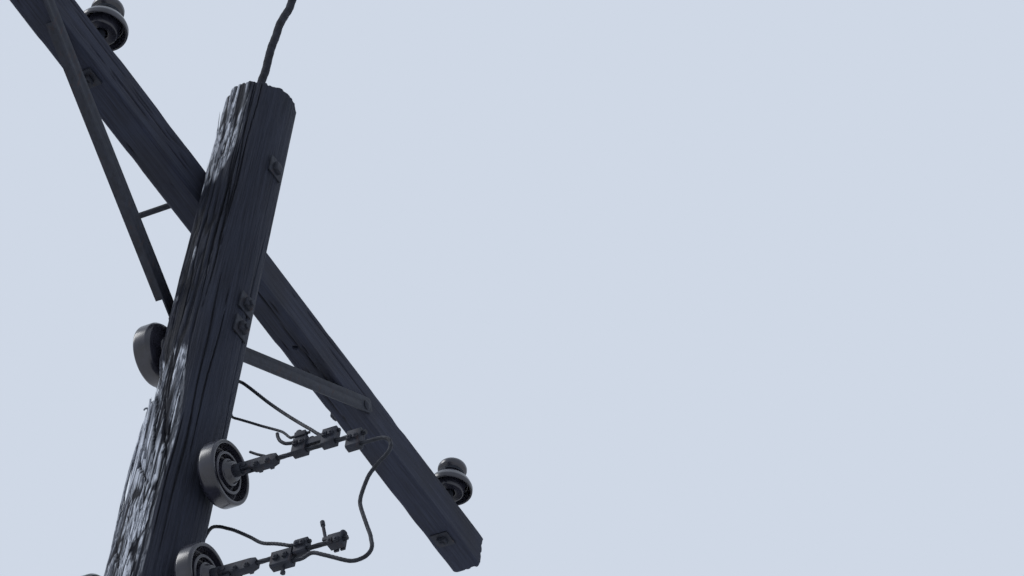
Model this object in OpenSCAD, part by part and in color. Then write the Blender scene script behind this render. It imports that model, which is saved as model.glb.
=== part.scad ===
// Wooden telephone pole with one crossarm: a tapered round timber pole, a timber arm on two angle
// braces with pin insulators on top, and bell insulators with strain clamps on the sides of the pole
// that face the lines.
// Origin: centre of the pole at the ground line. +Z up, the arm lies along X, the lines run along Y.

/* [Pole] */
// Height of the pole above the ground line
pole_h = 7500; // [6500:50:9000]
// Diameter of the pole at its top
pole_top_d = 195; // [160:5:240]
// Growth of the diameter for each metre down the pole
pole_taper = 8; // [4:1:12]
// Bevel of worn wood round the top
pole_bevel = 8; // [2:1:15]
// Depth of the drying checks in the round timber
check_depth = 14; // [6:1:25]

/* [Crossarm] */
// Length of the arm
arm_len = 3100; // [2900:4:3600]
// Width of the arm, front to back
arm_w = 92; // [80:1:110]
// Height of the arm
arm_h = 117; // [100:1:130]
// Bevel along the arm's four long edges
arm_bevel = 7; // [3:1:12]
// Depth of the arm's middle below the pole's top
arm_drop = 340; // [260:5:450]
// Depth of the flat seat cut in the pole for the arm
gain_depth = 10; // [5:1:15]
// Play above and below the arm in its seat
gain_play = 2; // [1:1:5]

/* [Bolts] */
// Diameter of the through bolts and of the insulator pins' shanks
bolt_d = 16; // [12:1:18]
// Diameter of the carriage bolts of the braces
brace_bolt_d = 12; // [10:1:14]
// Radial play of a bolt in its drilled hole
hole_play = 0.75; // [0.5:0.25:1.5]
// Width across the flats of the square heads and nuts
nut_w = 26; // [22:1:30]
// Thickness of the square nuts
nut_t = 14; // [10:1:16]
// Thickness of the square bolt heads
head_t = 11; // [8:1:14]
// Side of the square washers
washer_w = 57; // [50:1:70]
// Thickness of the square washers
washer_t = 5; // [3:1:8]
// Height of the crossarm bolt above the arm's middle
arm_bolt_rise = 38; // [0:1:40]
// Length of the crossarm bolt's free tail beyond its nut
arm_bolt_tail = 140; // [40:5:200]
// Length of thread that stands out of any other nut
thread_out = 6; // [3:1:10]

/* [Braces] */
// Distance from the pole's axis to the bolt that holds a brace to the arm
brace_reach = 838; // [700:2:900]
// Height of the brace bolts above the pole bolt that both braces share
brace_rise = 457; // [380:1:500]
// Height of the brace bolts above the arm's lower face
brace_edge = 32; // [28:1:55]
// Width of the two flanges of the angle steel
angle_w = 48; // [38:1:60]
// Thickness of the flanges
angle_t = 5; // [3:1:7]
// Distance of the bolt holes from the outer corner of the angle
angle_gauge = 28; // [22:1:34]
// Length of the brace beyond its bolts
brace_end = 28; // [22:1:40]
// Distance from the pole bolt to the start of the upper flange
flange_start = 76; // [60:2:120]
// Play between the cut-away upper flange and the arm
brace_play = 3; // [1:1:6]

/* [Pin insulators] */
// Distance from the arm's ends to the outer insulators
pin_end = 150; // [120:5:250]
// Distance from the pole's axis to the inner holes of the arm
pin_inner = 530; // [450:5:600]
// Diameter of the insulator's skirt
ins_d = 140; // [126:1:150]
// Height of the insulator
ins_h = 120; // [114:1:130]
// Height of the insulator's inner petticoat above the arm
ins_lift = 66; // [50:1:75]
// Diameter of the pin's head in the insulator
pin_head_d = 35; // [30:1:38]
// Length of the pin's head in the insulator
pin_head_l = 50; // [40:1:60]
// Height of the pin's head above the insulator's lower edge
pin_seat = 22; // [18:1:30]
// Diameter of the collar on which a pin stands
collar_d = 50; // [40:1:60]
// Thickness of that collar
collar_t = 6; // [4:1:10]

/* [Bell insulators] */
// Diameter of a bell
bell_d = 165; // [150:1:180]
// Depth of a bell's skirt along its axis
bell_depth = 52; // [46:1:62]
// Distance from the pole's face to the back of the skirt
bell_stand = 16; // [14:1:24]
// Length of the porcelain hub beyond the skirt's rim
hub_out = 12; // [6:1:20]
// Height of the upper left bell above the ground
left_bell_z = 6591; // [6500:1:6620]
// Height of the upper right bell above the ground
right_bell_z = 6078; // [5900:1:6200]
// Distance from the upper right bell down to the lower pair
bell_step = 325; // [280:5:420]

/* [Eye nuts and strain clamps] */
// Diameter of the steel of the eye
eye_wire = 9; // [8:1:14]
// Inner diameter of the eye
eye_bore = 17; // [15:1:24]
// Length of the eye nut's body on the bolt
eye_neck = 18; // [14:1:26]
// Diameter of the pin through the eye
fork_pin_d = 12; // [8:1:14]
// Thickness of the clamp's cheeks
cheek_t = 6; // [4:1:8]
// Length of the clamp's body beyond the eye
clamp_l = 70; // [56:2:100]
// Height of the clamp's body above the conductor
clamp_top = 11; // [10:1:16]
// Depth of the clamp's body below the conductor
clamp_low = 16; // [14:1:22]

/* [Conductors and jumpers] */
// Diameter of the conductors
wire_d = 12; // [10:1:14]
// Diameter of the jumpers round the pole
jumper_d = 9; // [7:1:10]
// Diameter of the thin tap from the upper left lug to the first connector
tap_d = 7; // [5:1:8]
// Diameter of the jumper that joins the two right conductors
joining_d = 10; // [8:1:11]
// Diameter of the barrel of a left lug
barrel_d = 18; // [17:1:22]
// Length of that barrel
barrel_l = 46; // [36:2:60]
// Distance of the tap's barrel below the jumper's
tap_drop = 24; // [23:1:30]

/* [Connectors] */
// Distance from a clamp to the first connector
clamp_gap = 44; // [30:2:60]
// Length of the short connectors
short_l = 36; // [34:1:44]
// Distance between the two connectors before the arm
upper_gap = 44; // [36:2:60]
// Height of the jumper's port in the second of them above the conductor
upper_port = 34; // [28:1:38]
// Height of the tap's port in the first of them above the conductor
tap_port = 46; // [45:1:50]
// Distance from the second to the connector under the arm
under_gap = 36; // [30:2:60]
// Depth of its port below the conductor
under_port = 34; // [28:1:38]
// Length of the deep first connector on the lower conductor
deep_l = 54; // [46:2:70]
// Depth of its port below the conductor
deep_port = 26; // [24:1:36]
// Length of the small second connector on the lower conductor
small_l = 32; // [30:1:44]
// Height of its port above the conductor
small_port = 22; // [20:1:30]
// Distance from the first to the second of these
small_gap = 3; // [2:1:10]
// Distance from the second to the third of these
third_gap = 60; // [40:2:80]

/* [Top rod] */
// Diameter of the bent rod on top of the pole
rod_d = 20; // [14:1:24]
// Depth of the rod in the pole's top
rod_set = 100; // [60:5:150]

/* [Hidden] */

// Gap between two seated pieces that aren't flat against each other
seat = 0.3;
eps = 1;
$fn = 96;

arm_z = pole_h - arm_drop;
arm_top = arm_z + arm_h / 2;
arm_bottom = arm_z - arm_h / 2;
gain_y = pole_r(arm_z) - gain_depth;
arm_y = -(gain_y + arm_w / 2);
arm_front = -(gain_y + arm_w);
arm_bolt_z = arm_z + arm_bolt_rise;

brace_arm_z = arm_bottom + brace_edge;
brace_pole_z = brace_arm_z - brace_rise;
brace_angle = atan(brace_rise / brace_reach);
brace_len = norm([brace_reach, brace_rise]);
pole_seat_y = pole_r(brace_pole_z) + seat;

pin_outer = arm_len / 2 - pin_end;

left_bells = [left_bell_z, right_bell_z - bell_step];
right_bells = [right_bell_z, right_bell_z - bell_step];
LEFT = -1;
RIGHT = 1;

// Places along a bell's axis, from the face of the pole outwards
bell_rim = bell_stand + bell_depth;
hub_end = bell_rim + hub_out;
eye_y = hub_end + seat + eye_neck / 2 + 3 + eye_bore / 2 + eye_wire;
clamp_y = eye_y + eye_bore / 2 + eye_wire + seat;
clamp_end = clamp_y + clamp_l;
first_y = clamp_end + clamp_gap;
upper_y = first_y + short_l + upper_gap;
under_y = upper_y + short_l + under_gap;
under_end = under_y + short_l;
small_y = first_y + deep_l + small_gap;
third_y = small_y + small_l + third_gap;
third_end = third_y + short_l;
tail_out = 10;
cheek_x = eye_wire / 2 + seat;
wire_bore = wire_d + 2 * seat;
jumper_bore = jumper_d + 2 * seat;
tap_bore = tap_d + 2 * seat;
tap_x = 9;
tail_x = 3;
tail_z = 34;
joining_bore = joining_d + 2 * seat;
barrel_y = hub_end + seat + barrel_d / 2;
barrel_x = 34;

// Drying checks: turn round the axis, height of the lower end, length, width at the surface
pole_checks = [
    [-62, 4300, 2900, 10], [-38, 2600, 1500, 7], [-75, 900, 1900, 9], [25, 3700, 1250, 7],
    [48, 1200, 2300, 10], [150, 2200, 2700, 9], [205, 5100, 1300, 7], [118, 400, 1500, 6],
];

WOOD_POLE = "#3b352e";
WOOD_ARM = "#4a4036";
STEEL = "#8a8d8f";
WIRE = "#55585a";
PORCELAIN = "#3a2018";

// Radius of the pole at a height above the ground, and the seat of a fitting on it
function pole_r(z) = pole_top_d / 2 + pole_taper / 2000 * (pole_h - z);
function face(z) = pole_r(z) + seat;

// A round hole or shaft along Y between two places
module along_y(y0, y1, d) {
    translate([0, min(y0, y1), 0]) rotate([-90, 0, 0]) cylinder(h = abs(y1 - y0), d = d);
}

// A square nut, head or washer whose inner face lies at y and which is built outwards along side
module square_y(y, side, w, t) {
    translate([-w / 2, side > 0 ? y : y - t, -w / 2]) cube([w, t, w]);
}

// Pole

module pole() {
    color(WOOD_POLE) difference() {
        rotate_extrude() polygon([
            [0, 0], [pole_r(0), 0], [pole_r(pole_h - pole_bevel), pole_h - pole_bevel],
            [pole_r(pole_h) - pole_bevel, pole_h], [0, pole_h],
        ]);
        for (c = pole_checks) rotate([0, 0, c[0]]) translate([pole_r(c[1] + c[2] / 2), 0, c[1]])
            linear_extrude(c[2]) polygon([[-check_depth, 0], [check_depth, -c[3]], [check_depth, c[3]]]);
        translate([-pole_top_d, -gain_y - pole_top_d, arm_bottom - gain_play])
            cube([2 * pole_top_d, pole_top_d, arm_h + 2 * gain_play]);
        for (z = concat([arm_bolt_z, brace_pole_z, left_bell_z], right_bells))
            translate([0, 0, z]) along_y(-pole_r(0), pole_r(0), bolt_d + 2 * hole_play);
        translate([rod_way[0].x, 0, pole_h - rod_set]) cylinder(h = rod_set + eps, d = rod_d + 2 * seat);
    }
}

// Crossarm

module crossarm() {
    holes = [-pin_outer, -pin_inner, pin_inner, pin_outer];
    color(WOOD_ARM) difference() {
        translate([-arm_len / 2, arm_y, arm_z]) rotate([90, 0, 90]) linear_extrude(arm_len)
            bevelled(arm_w, arm_h, arm_bevel);
        for (x = holes)
            translate([x, arm_y, arm_bottom - eps]) cylinder(h = arm_h + 2 * eps, d = bolt_d + 2 * hole_play);
        translate([0, 0, arm_bolt_z]) along_y(arm_front - eps, -gain_y + eps, bolt_d + 2 * hole_play);
        for (x = [-brace_reach, brace_reach])
            translate([x, 0, brace_arm_z])
                along_y(arm_front - eps, -gain_y + eps, brace_bolt_d + 2 * hole_play);
    }
}

// A rectangle about the origin with its four corners cut off
module bevelled(w, h, b) {
    polygon([
        [-w / 2 + b, -h / 2], [w / 2 - b, -h / 2], [w / 2, -h / 2 + b], [w / 2, h / 2 - b],
        [w / 2 - b, h / 2], [-w / 2 + b, h / 2], [-w / 2, h / 2 - b], [-w / 2, -h / 2 + b],
    ]);
}

module crossarm_bolt() {
    back = pole_r(arm_bolt_z) + seat + washer_t;
    front = arm_front - washer_t;
    color(STEEL) translate([0, 0, arm_bolt_z]) {
        along_y(back, front - nut_t - arm_bolt_tail, bolt_d);
        square_y(back, 1, nut_w, head_t);
        square_y(front, -1, nut_w, nut_t);
    }
}

module crossarm_washers() {
    color(STEEL) translate([0, 0, arm_bolt_z]) {
        holed_washer(pole_r(arm_bolt_z) + seat, 1, bolt_d);
        holed_washer(arm_front, -1, bolt_d);
    }
}

module holed_washer(y, side, d) {
    difference() {
        square_y(y, side, washer_w, washer_t);
        along_y(y - 2 * washer_t, y + 2 * washer_t, d + 2 * hole_play);
    }
}

// Braces

// Draws its children in a brace's own frame: x along the brace from the pole bolt to the arm bolt,
// y = 0 on the outer face of the flange that lies on pole and arm, turned so that both ends are seated
module brace_frame(side, lift) {
    mirror([side > 0 ? 0 : 1, 0, 0]) translate([0, brace_foot_y(lift), brace_pole_z])
        rotate([0, -brace_angle, 0]) rotate([0, 0, brace_slope(lift)]) children();
}

// Place of that outer face over the pole bolt; lift is what lies between the brace and the pole
function brace_foot_y(lift) = -(pole_seat_y + angle_t + lift);
// Angle that brings this face from there onto the arm's back face at the arm's lower edge
function brace_slope(lift) =
    asin((-gain_y + seat - brace_foot_y(lift)) / (brace_len - brace_edge / sin(brace_angle)));
// Inner face of the brace under the bolt head at the arm
function brace_head_y(lift) =
    brace_foot_y(lift) + angle_t + brace_len * sin(brace_slope(lift))
    + nut_w / 2 * tan(brace_slope(lift)) + seat;

// Angle steel: one flange flat against pole and arm, the other outwards from its upper edge
module brace(side, lift) {
    color(STEEL) difference() {
        brace_frame(side, lift) difference() {
            translate([-brace_end, 0, 0]) rotate([90, 0, 90]) linear_extrude(brace_len + 2 * brace_end)
                angle_profile();
            translate([-2 * brace_end, -2 * angle_w, -angle_w])
                cube([flange_start + 2 * brace_end, 2 * angle_w, 2 * angle_w]);
            for (x = [-brace_end, brace_len + brace_end], lip = [-1, 1])
                brace_corner(x, lip);
            along_y(-eps, angle_t + eps, bolt_d + 2 * hole_play);
            translate([brace_len, 0, 0]) along_y(-eps, angle_t + eps, brace_bolt_d + 2 * hole_play);
        }
        translate([-arm_len / 2, arm_front - arm_w, arm_bottom - brace_play])
            cube([arm_len, 2 * arm_w - 0.01, 2 * arm_h]);
    }
}

// Section of the angle, x outwards from the arm's side to the pole's side and y upwards
module angle_profile() {
    top = angle_gauge;
    polygon([
        [0, top - angle_w], [angle_t, top - angle_w], [angle_t, top - 2], [angle_t - 2, top],
        [angle_t - angle_w, top], [angle_t - angle_w, top - angle_t], [-3, top - angle_t],
        [0, top - angle_t - 3],
    ]);
}

// Wedge that takes a corner off the flat flange at one end
module brace_corner(x, lip) {
    edge = lip > 0 ? angle_gauge : angle_gauge - angle_w;
    translate([x, -angle_w, edge]) rotate([0, 45, 0]) translate([-6, 0, -6]) cube([12, 3 * angle_w, 12]);
}

module near_brace() { brace(1, 0); }
module far_brace() { brace(-1, angle_t); }

module brace_arm_bolts() {
    color(STEEL) for (side = [-1, 1]) translate([side * brace_reach, 0, brace_arm_z]) {
        head = brace_head_y(side > 0 ? 0 : angle_t);
        along_y(arm_front - nut_t - thread_out, head, brace_bolt_d);
        square_y(head, 1, nut_w, head_t / 2);
        square_y(arm_front, -1, nut_w, nut_t);
    }
}

module brace_pole_bolt() {
    front = -(pole_seat_y + 2 * angle_t + seat);
    back = pole_seat_y + washer_t;
    color(STEEL) translate([0, 0, brace_pole_z]) {
        along_y(front, back + nut_t + thread_out, bolt_d);
        square_y(front, -1, nut_w, head_t);
        square_y(back, 1, nut_w, nut_t);
        holed_washer(pole_seat_y, 1, bolt_d - 2 * hole_play);
    }
}

// Pin insulators

module insulator_pin(x) {
    shank = arm_bottom - washer_t - nut_t - thread_out;
    base = arm_top + ins_lift;
    color(STEEL) translate([x, arm_y, 0]) {
        translate([0, 0, shank]) cylinder(h = arm_top - shank, d = bolt_d);
        translate([-nut_w / 2, -nut_w / 2, arm_bottom - washer_t - nut_t]) cube([nut_w, nut_w, nut_t]);
        translate([-washer_w / 2, -washer_w / 2, arm_bottom - washer_t]) cube([washer_w, washer_w, washer_t]);
        translate([0, 0, arm_top]) cylinder(h = collar_t, d = collar_d);
        translate([0, 0, arm_top + collar_t])
            cylinder(h = ins_lift - collar_t + pin_seat, d1 = 0.66 * collar_d, d2 = 0.7 * pin_head_d);
        translate([0, 0, base + pin_seat]) cylinder(h = pin_head_l, d = pin_head_d);
    }
}

module near_end_pin() { insulator_pin(pin_outer); }
module near_inner_pin() { insulator_pin(pin_inner); }
module far_end_pin() { insulator_pin(-pin_outer); }

// Profile of the porcelain, r outwards and z up from the lower edge of the inner petticoat
module insulator_profile() {
    r = ins_d / 2;
    bore = pin_head_d / 2 + seat;
    neck = 0.48 * r;
    head = 0.64 * r;
    difference() {
        polygon([
            [bore, 0], [0.6 * r, 0], [0.66 * r, 0.1 * ins_h], [0.66 * r, 0.13 * ins_h],
            [0.98 * r, 0.13 * ins_h], [r, 0.16 * ins_h], [r, 0.2 * ins_h], [0.86 * r, 0.36 * ins_h],
            [0.7 * r, 0.46 * ins_h],
            [0.62 * r, 0.52 * ins_h], [neck, 0.56 * ins_h], [neck, 0.68 * ins_h], [head, 0.74 * ins_h],
            [head, 0.84 * ins_h], [0.9 * head, 0.92 * ins_h], [0.7 * head, 0.98 * ins_h], [0.5 * head, ins_h],
            [0, ins_h], [0, pin_seat + pin_head_l + seat], [bore, pin_seat + pin_head_l + seat],
        ]);
        polygon([
            [0.72 * r, 0], [0.9 * r, 0], [0.9 * r, 0.2 * ins_h], [0.78 * r, 0.3 * ins_h],
            [0.72 * r, 0.3 * ins_h],
        ]);
    }
}

module pin_insulator(x) {
    saddle = 11;
    color(PORCELAIN) translate([x, arm_y, arm_top + ins_lift]) difference() {
        rotate_extrude() insulator_profile();
        translate([0, 0, ins_h]) along_y(-ins_d, ins_d, 2 * saddle);
    }
}
module near_end_insulator() { pin_insulator(pin_outer); }
module near_inner_insulator() { pin_insulator(pin_inner); }
module far_end_insulator() { pin_insulator(-pin_outer); }

// Bell insulators

// Draws its children in the frame of a fitting: y = 0 on the pole's face, +y away from it
module fitting_frame(side, z) {
    mirror([0, side > 0 ? 0 : 1, 0]) translate([0, face(z), z]) children();
}

// Profile of the porcelain, r from the axis and then the distance from the pole's face
module bell_profile() {
    r = bell_d / 2;
    bore = bolt_d / 2 + hole_play;
    back = bell_stand;
    rim = bell_rim;
    difference() {
        polygon([
            [bore, washer_t], [0.4 * r, washer_t], [0.46 * r, 0.7 * back], [0.8 * r, back],
            [0.92 * r, back + 4], [r, back + 14], [r, rim - 5], [0.97 * r, rim], [0.9 * r, rim],
            [0.62 * r, rim - 6], [0.36 * r, rim - 2], [0.3 * r, hub_end], [bore, hub_end],
        ]);
        groove(0.66 * r, 0.87 * r, 30, rim);
        groove(0.42 * r, 0.56 * r, 24, rim);
    }
}

// Ring-shaped hollow between two petticoats, open towards the rim
module groove(r0, r1, deep, rim) {
    polygon([
        [r0, rim + 1], [r0, rim - deep + 5], [r0 + 3, rim - deep], [r1 - 3, rim - deep],
        [r1, rim - deep + 5], [r1, rim + 1],
    ]);
}

module bell(side, z) {
    color(PORCELAIN) fitting_frame(side, z) rotate([-90, 0, 0]) rotate_extrude() bell_profile();
}

module left_upper_bell() { bell(LEFT, left_bells[0]); }
module left_lower_bell() { bell(LEFT, left_bells[1]); }
module right_upper_bell() { bell(RIGHT, right_bells[0]); }
module right_lower_bell() { bell(RIGHT, right_bells[1]); }

// Through bolt: an eye nut or a plain nut on a side with a bell, a plain nut on a bare side
module bell_bolt(z, left, right) {
    plain = washer_t + nut_t + thread_out;
    lug = hub_end + seat + 4 + nut_t + thread_out;
    eye = hub_end + seat + eye_neck / 2;
    translate([0, 0, z]) along_y(-face(z) - (left ? lug : plain), face(z) + (right ? eye : plain), bolt_d);
    fitting_frame(LEFT, z) square_y(left ? hub_end + seat + 4 : washer_t, 1, nut_w, nut_t);
    if (!right) fitting_frame(RIGHT, z) square_y(washer_t, 1, nut_w, nut_t);
}

module bell_bolts() {
    color(STEEL) {
        bell_bolt(left_bell_z, true, false);
        bell_bolt(right_bells[0], false, true);
        bell_bolt(right_bells[1], true, true);
    }
}

module bell_plates() {
    color(STEEL) for (side = [LEFT, RIGHT], z = concat([left_bell_z], right_bells))
        fitting_frame(side, z) holed_washer(0, 1, bolt_d);
}

// Lug under a left nut: a flat tongue with a barrel for the jumper's end, and one below it for a tap
module left_lug(z, tap) {
    low = tap ? tap_drop + 8 : 15;
    fitting_frame(LEFT, z) difference() {
        union() {
            translate([-barrel_x - 8, hub_end + seat, -low]) cube([barrel_x + 24, 4, low + 15]);
            barrel(0, barrel_d);
            if (tap) barrel(-tap_drop, barrel_d - 4);
        }
        along_y(hub_end, hub_end + barrel_d, bolt_d + 2 * hole_play);
        translate([-nut_w / 2 - 1, hub_end + seat + 4, -barrel_d]) cube([nut_w + 2, barrel_d, 2 * barrel_d]);
        translate([-eps, 0, 0]) barrel(0, jumper_bore, 12);
        translate([-eps, 0, 0]) barrel(-tap_drop, tap_bore, 12);
    }
}

// A barrel of a lug, or with a stop the hole in it
module barrel(z, d, stop = 0) {
    translate([-barrel_x - barrel_l, barrel_y, z]) rotate([0, 90, 0])
        cylinder(h = barrel_l + 12 - stop, d = d);
}

module left_lugs() {
    color(STEEL) {
        left_lug(left_bells[0], true);
        left_lug(left_bells[1], false);
    }
}

// Eye nut: a round body on the bolt and a forged ring whose axis lies along X
module eye_nut(z) {
    fitting_frame(RIGHT, z) {
        difference() {
            along_y(hub_end + seat, hub_end + seat + eye_neck, 2 * bolt_d);
            along_y(hub_end, hub_end + seat + eye_neck / 2 + seat, bolt_d + 2 * seat);
        }
        translate([0, eye_y, 0]) rotate([0, 90, 0]) rotate_extrude()
            translate([(eye_bore + eye_wire) / 2, 0]) circle(d = eye_wire);
    }
}

module eye_nuts() { color(STEEL) for (z = right_bells) eye_nut(z); }

// Strain clamps

// A bolt across a clamp or connector with a square head and nut
module cross_bolt(y, z, half, d) {
    translate([0, y, z]) rotate([0, 90, 0]) {
        translate([0, 0, -half - 5]) cylinder(h = 2 * half + 14, d = d);
        translate([-d, -d, -half - 5]) cube([2 * d, 2 * d, 5]);
        translate([-d, -d, half]) cube([2 * d, 2 * d, 6]);
    }
}

// Forged clamp: a fork round the eye and a slim body that holds the conductor, with two bolts
module clamp(z) {
    half = cheek_x + cheek_t;
    fitting_frame(RIGHT, z) {
        difference() {
            translate([half, 0, 0]) rotate([0, -90, 0]) linear_extrude(2 * half) clamp_side();
            translate([-cheek_x, 0, -clamp_low]) cube([2 * cheek_x, clamp_y, 2 * clamp_low]);
            along_y(clamp_y - eps, clamp_end + eps, wire_bore);
        }
        translate([-half - 3, eye_y, 0]) rotate([0, 90, 0]) cylinder(h = 2 * half + 6, d = fork_pin_d);
        for (k = [0.25, 0.7]) cross_bolt(clamp_y + k * clamp_l, -clamp_low + 6, half, 5);
    }
}

// Side view of the clamp: height first, then distance from the pole's face
module clamp_side() {
    polygon([
        [-9, eye_y - 11], [9, eye_y - 11], [clamp_top, eye_y - 8], [clamp_top, clamp_end - 16],
        [clamp_top - 3, clamp_end], [-9, clamp_end], [-clamp_low, clamp_end - 14],
        [-clamp_low, clamp_y + 8], [-clamp_top, clamp_y], [-clamp_top, eye_y - 8],
    ]);
}

module clamps() { color(STEEL) for (z = right_bells) clamp(z); }

// Cut ends of the conductors in the clamps, which carry the connectors
module conductor_ends() {
    color(WIRE) {
        fitting_frame(RIGHT, right_bells[0]) along_y(clamp_y, under_end + tail_out, wire_d);
        fitting_frame(RIGHT, right_bells[1]) along_y(clamp_y, third_end + tail_out, wire_d);
    }
}

// Connectors

// Bolted block w wide on the conductor from low to top, with two bolts and one port where d isn't 0
module connector(y, len, w, low, top, bolt_z, port_z = 0, d = 0) {
    difference() {
        translate([0, y, 0]) rotate([-90, 0, 0]) linear_extrude(len) polygon([
            [-w / 2, -low - 4], [-w / 2 + 4, -low], [w / 2 - 4, -low], [w / 2, -low - 4],
            [w / 2, -top + 4], [w / 2 - 4, -top], [-w / 2 + 4, -top], [-w / 2, -top + 4],
        ]);
        along_y(y - eps, y + len + eps, wire_bore);
        if (d > 0) translate([0, 0, port_z]) along_y(y - eps, y + len + eps, d);
    }
    for (k = [0.27, 0.73]) cross_bolt(y + k * len, bolt_z, w / 2, 6);
}

module upper_connectors() {
    r = wire_d / 2;
    low = -r - 5;
    color(STEEL) fitting_frame(RIGHT, right_bells[0]) {
        difference() {
            union() {
                connector(first_y, short_l, 26, low, 40, 17);
                translate([tap_x - 7, first_y + 3, 38])
                    cube([14, short_l - 6, tap_port - 38 + tap_d / 2 + 2.5]);
            }
            translate([tap_x, 0, tap_port]) along_y(first_y, first_y + short_l, tap_bore);
            translate([tail_x, 0, tail_z]) along_y(first_y - eps, first_y + 20, jumper_bore);
        }
        connector(upper_y, short_l, 24, low, upper_port + jumper_d / 2 + 4,
            upper_port / 2 + 1, upper_port, jumper_bore);
        connector(under_y, short_l, 24, -under_port - joining_d / 2 - 5, r + 5,
            -under_port / 2 - 0.5, -under_port, joining_bore);
    }
}

module lower_connectors() {
    r = wire_d / 2;
    color(STEEL) fitting_frame(RIGHT, right_bells[1]) {
        connector(first_y, deep_l, 26, -deep_port - joining_d / 2 - 5, r + 4,
            -deep_port / 2 - 0.5, -deep_port, joining_bore);
        connector(small_y, small_l, 22, -r - 6, small_port + jumper_d / 2 + 4,
            small_port / 2 + 0.5, small_port, jumper_bore);
        connector(third_y, short_l, 28, -r - 12, r + 8, -r - 6);
        translate([-5, third_y - 20, 7]) cube([10, 21, 9]);
        translate([0, third_y - 13, 10]) rotate([17, 0, 0]) {
            cylinder(h = 62, d = 8);
            translate([0, 0, 50]) cylinder(h = 14, d = 11);
        }
    }
}

// Jumpers

// A curve through all the points of a list, with n steps from each point to the next
function bend(p, n) =
    let (last = len(p) - 1)
    concat([for (i = [0 : last - 1], k = [0 : n - 1])
        spline(p[max(i - 1, 0)], p[i], p[i + 1], p[min(i + 2, last)], k / n)], [p[last]]);
function spline(a, b, c, d, t) =
    b + (c - a) / 2 * t + (2 * a - 5 * b + 4 * c - d) / 2 * t * t
    + (3 * b - 3 * c + d - a) / 2 * t * t * t;

// Ends of the jumpers: in a left lug, and through the port of a right connector of some length
function lug_way(z) = [for (x = [14, barrel_l - 6, barrel_l + 12]) [-barrel_x - x, -face(z) - barrel_y, z]];
function port_way(z, y, len, port, x = 0) = [for (d = [-5, len + 6]) [x, face(z) + y + d, z + port]];

// Ways of the jumpers from the left side of the pole round its far side to the right
upper_mid = [
    [-134, -164, 6591], [-150, -95, 6585], [-142, -25, 6565], [-118, 30, 6536], [-100, 60, 6507],
    [-86, 102, 6459], [-62, 188, 6357], [-40, 263, 6272], [-20, 330, 6199], [-5, 381, 6145],
    [-2, 398, 6127], [0, 411, 6115],
];
tap_mid = [
    [-132, -166, 6560], [-150, -95, 6535], [-146, -25, 6490], [-122, 26, 6434], [-97, 58, 6384],
    [-80, 97, 6347], [-62, 145, 6304], [-45, 198, 6258], [-18, 277, 6190], [-4, 306, 6158],
    [3, 320, 6140], [7, 332, 6127],
];
lower_mid = [
    [-134, -164, 5753], [-158, -120, 5775], [-162, -66, 5840], [-154, -24, 5930], [-140, 4, 5980],
    [-122, 32, 6014], [-108, 58, 6026], [-99, 88, 6013], [-93, 118, 5993], [-85, 150, 5969],
    [-55, 221, 5902], [-30, 280, 5844], [-10, 334, 5808], [-3, 366, 5789], [-1, 381, 5780],
    [0, 390, 5777],
];
upper_way = concat(lug_way(left_bells[0]), upper_mid, port_way(right_bells[0], upper_y, short_l, upper_port));
tap_way = concat([for (p = lug_way(left_bells[0])) p - [0, 0, tap_drop]], tap_mid,
    port_way(right_bells[0], first_y, short_l, tap_port, tap_x));
lower_way = concat(lug_way(left_bells[1]), lower_mid, port_way(right_bells[1], small_y, small_l, small_port));

// Way of the jumper that joins the two right conductors, from the connector under the arm down in a long
// curve to the deep connector, as offsets from the upper right bell's place on the pole
joining_mid = [
    [0, 459, -34], [0, 481, -35], [0, 498, -41], [0, 510, -53], [0, 515, -69], [0, 513, -85],
    [0, 504, -99], [0, 491, -112], [0, 479, -128], [0, 468, -146], [0, 462, -167], [0, 457, -193],
    [0, 455, -219], [0, 461, -245], [0, 485, -305], [0, 498, -336], [0, 503, -353], [0, 508, -372],
    [1, 507, -388], [2, 498, -401], [4, 483, -408], [5, 466, -408], [6, 445, -400], [9, 388, -369],
    [8, 353, -351],
];
joining_way = concat(
    [for (y = [-18, 6]) [0, face(right_bells[0]) + under_end + y, right_bells[0] - under_port]],
    [for (p = joining_mid) p + [0, face(right_bells[0]), right_bells[0]]],
    [for (y = [26, 6, -20]) [0, face(right_bells[1]) + first_y + deep_l + y, right_bells[1] - deep_port]]
);
jumper_sides = 10;

// Bent tail of wire in the first connector: places beyond its near face and above its bore
tail_mid = [[16, 0], [-6, 0], [-16, 1], [-28, 5], [-39, 13], [-49, 25], [-55, 38], [-58, 48]];
tail_way = [for (p = tail_mid)
    [tail_x, face(right_bells[0]) + first_y + p.x, right_bells[0] + tail_z + p.y]];

module upper_jumper() { color(WIRE) tube(upper_way, jumper_d, jumper_sides, [0, 0, 1]); }
module tap_jumper() { color(WIRE) tube(tap_way, tap_d, jumper_sides, [0, 0, 1]); }
module lower_jumper() { color(WIRE) tube(lower_way, jumper_d, jumper_sides, [1, 0, 1]); }
module cut_tail() { color(WIRE) tube(tail_way, jumper_d, jumper_sides, [1, 0, 0]); }
module joining_jumper() { color(WIRE) tube(joining_way, joining_d, jumper_sides, [1, 0, 0]); }

// Top rod

// Way of the rod's middle line: out of the pole's top and bent over towards the far end of the arm
rod_way = [
    [16, 0, 0], [16, 0, 150], [15, 0, 230], [8, 0, 290], [0, 0, 350], [-13, 0, 425], [-26, 0, 500],
    [-38, 0, 560],
];
rod_sides = 12;

module top_rod() {
    way = concat([[16, 0, -rod_set + seat]], rod_way);
    color(STEEL) translate([0, 0, pole_h]) tube(way, rod_d, rod_sides);
}

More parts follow.
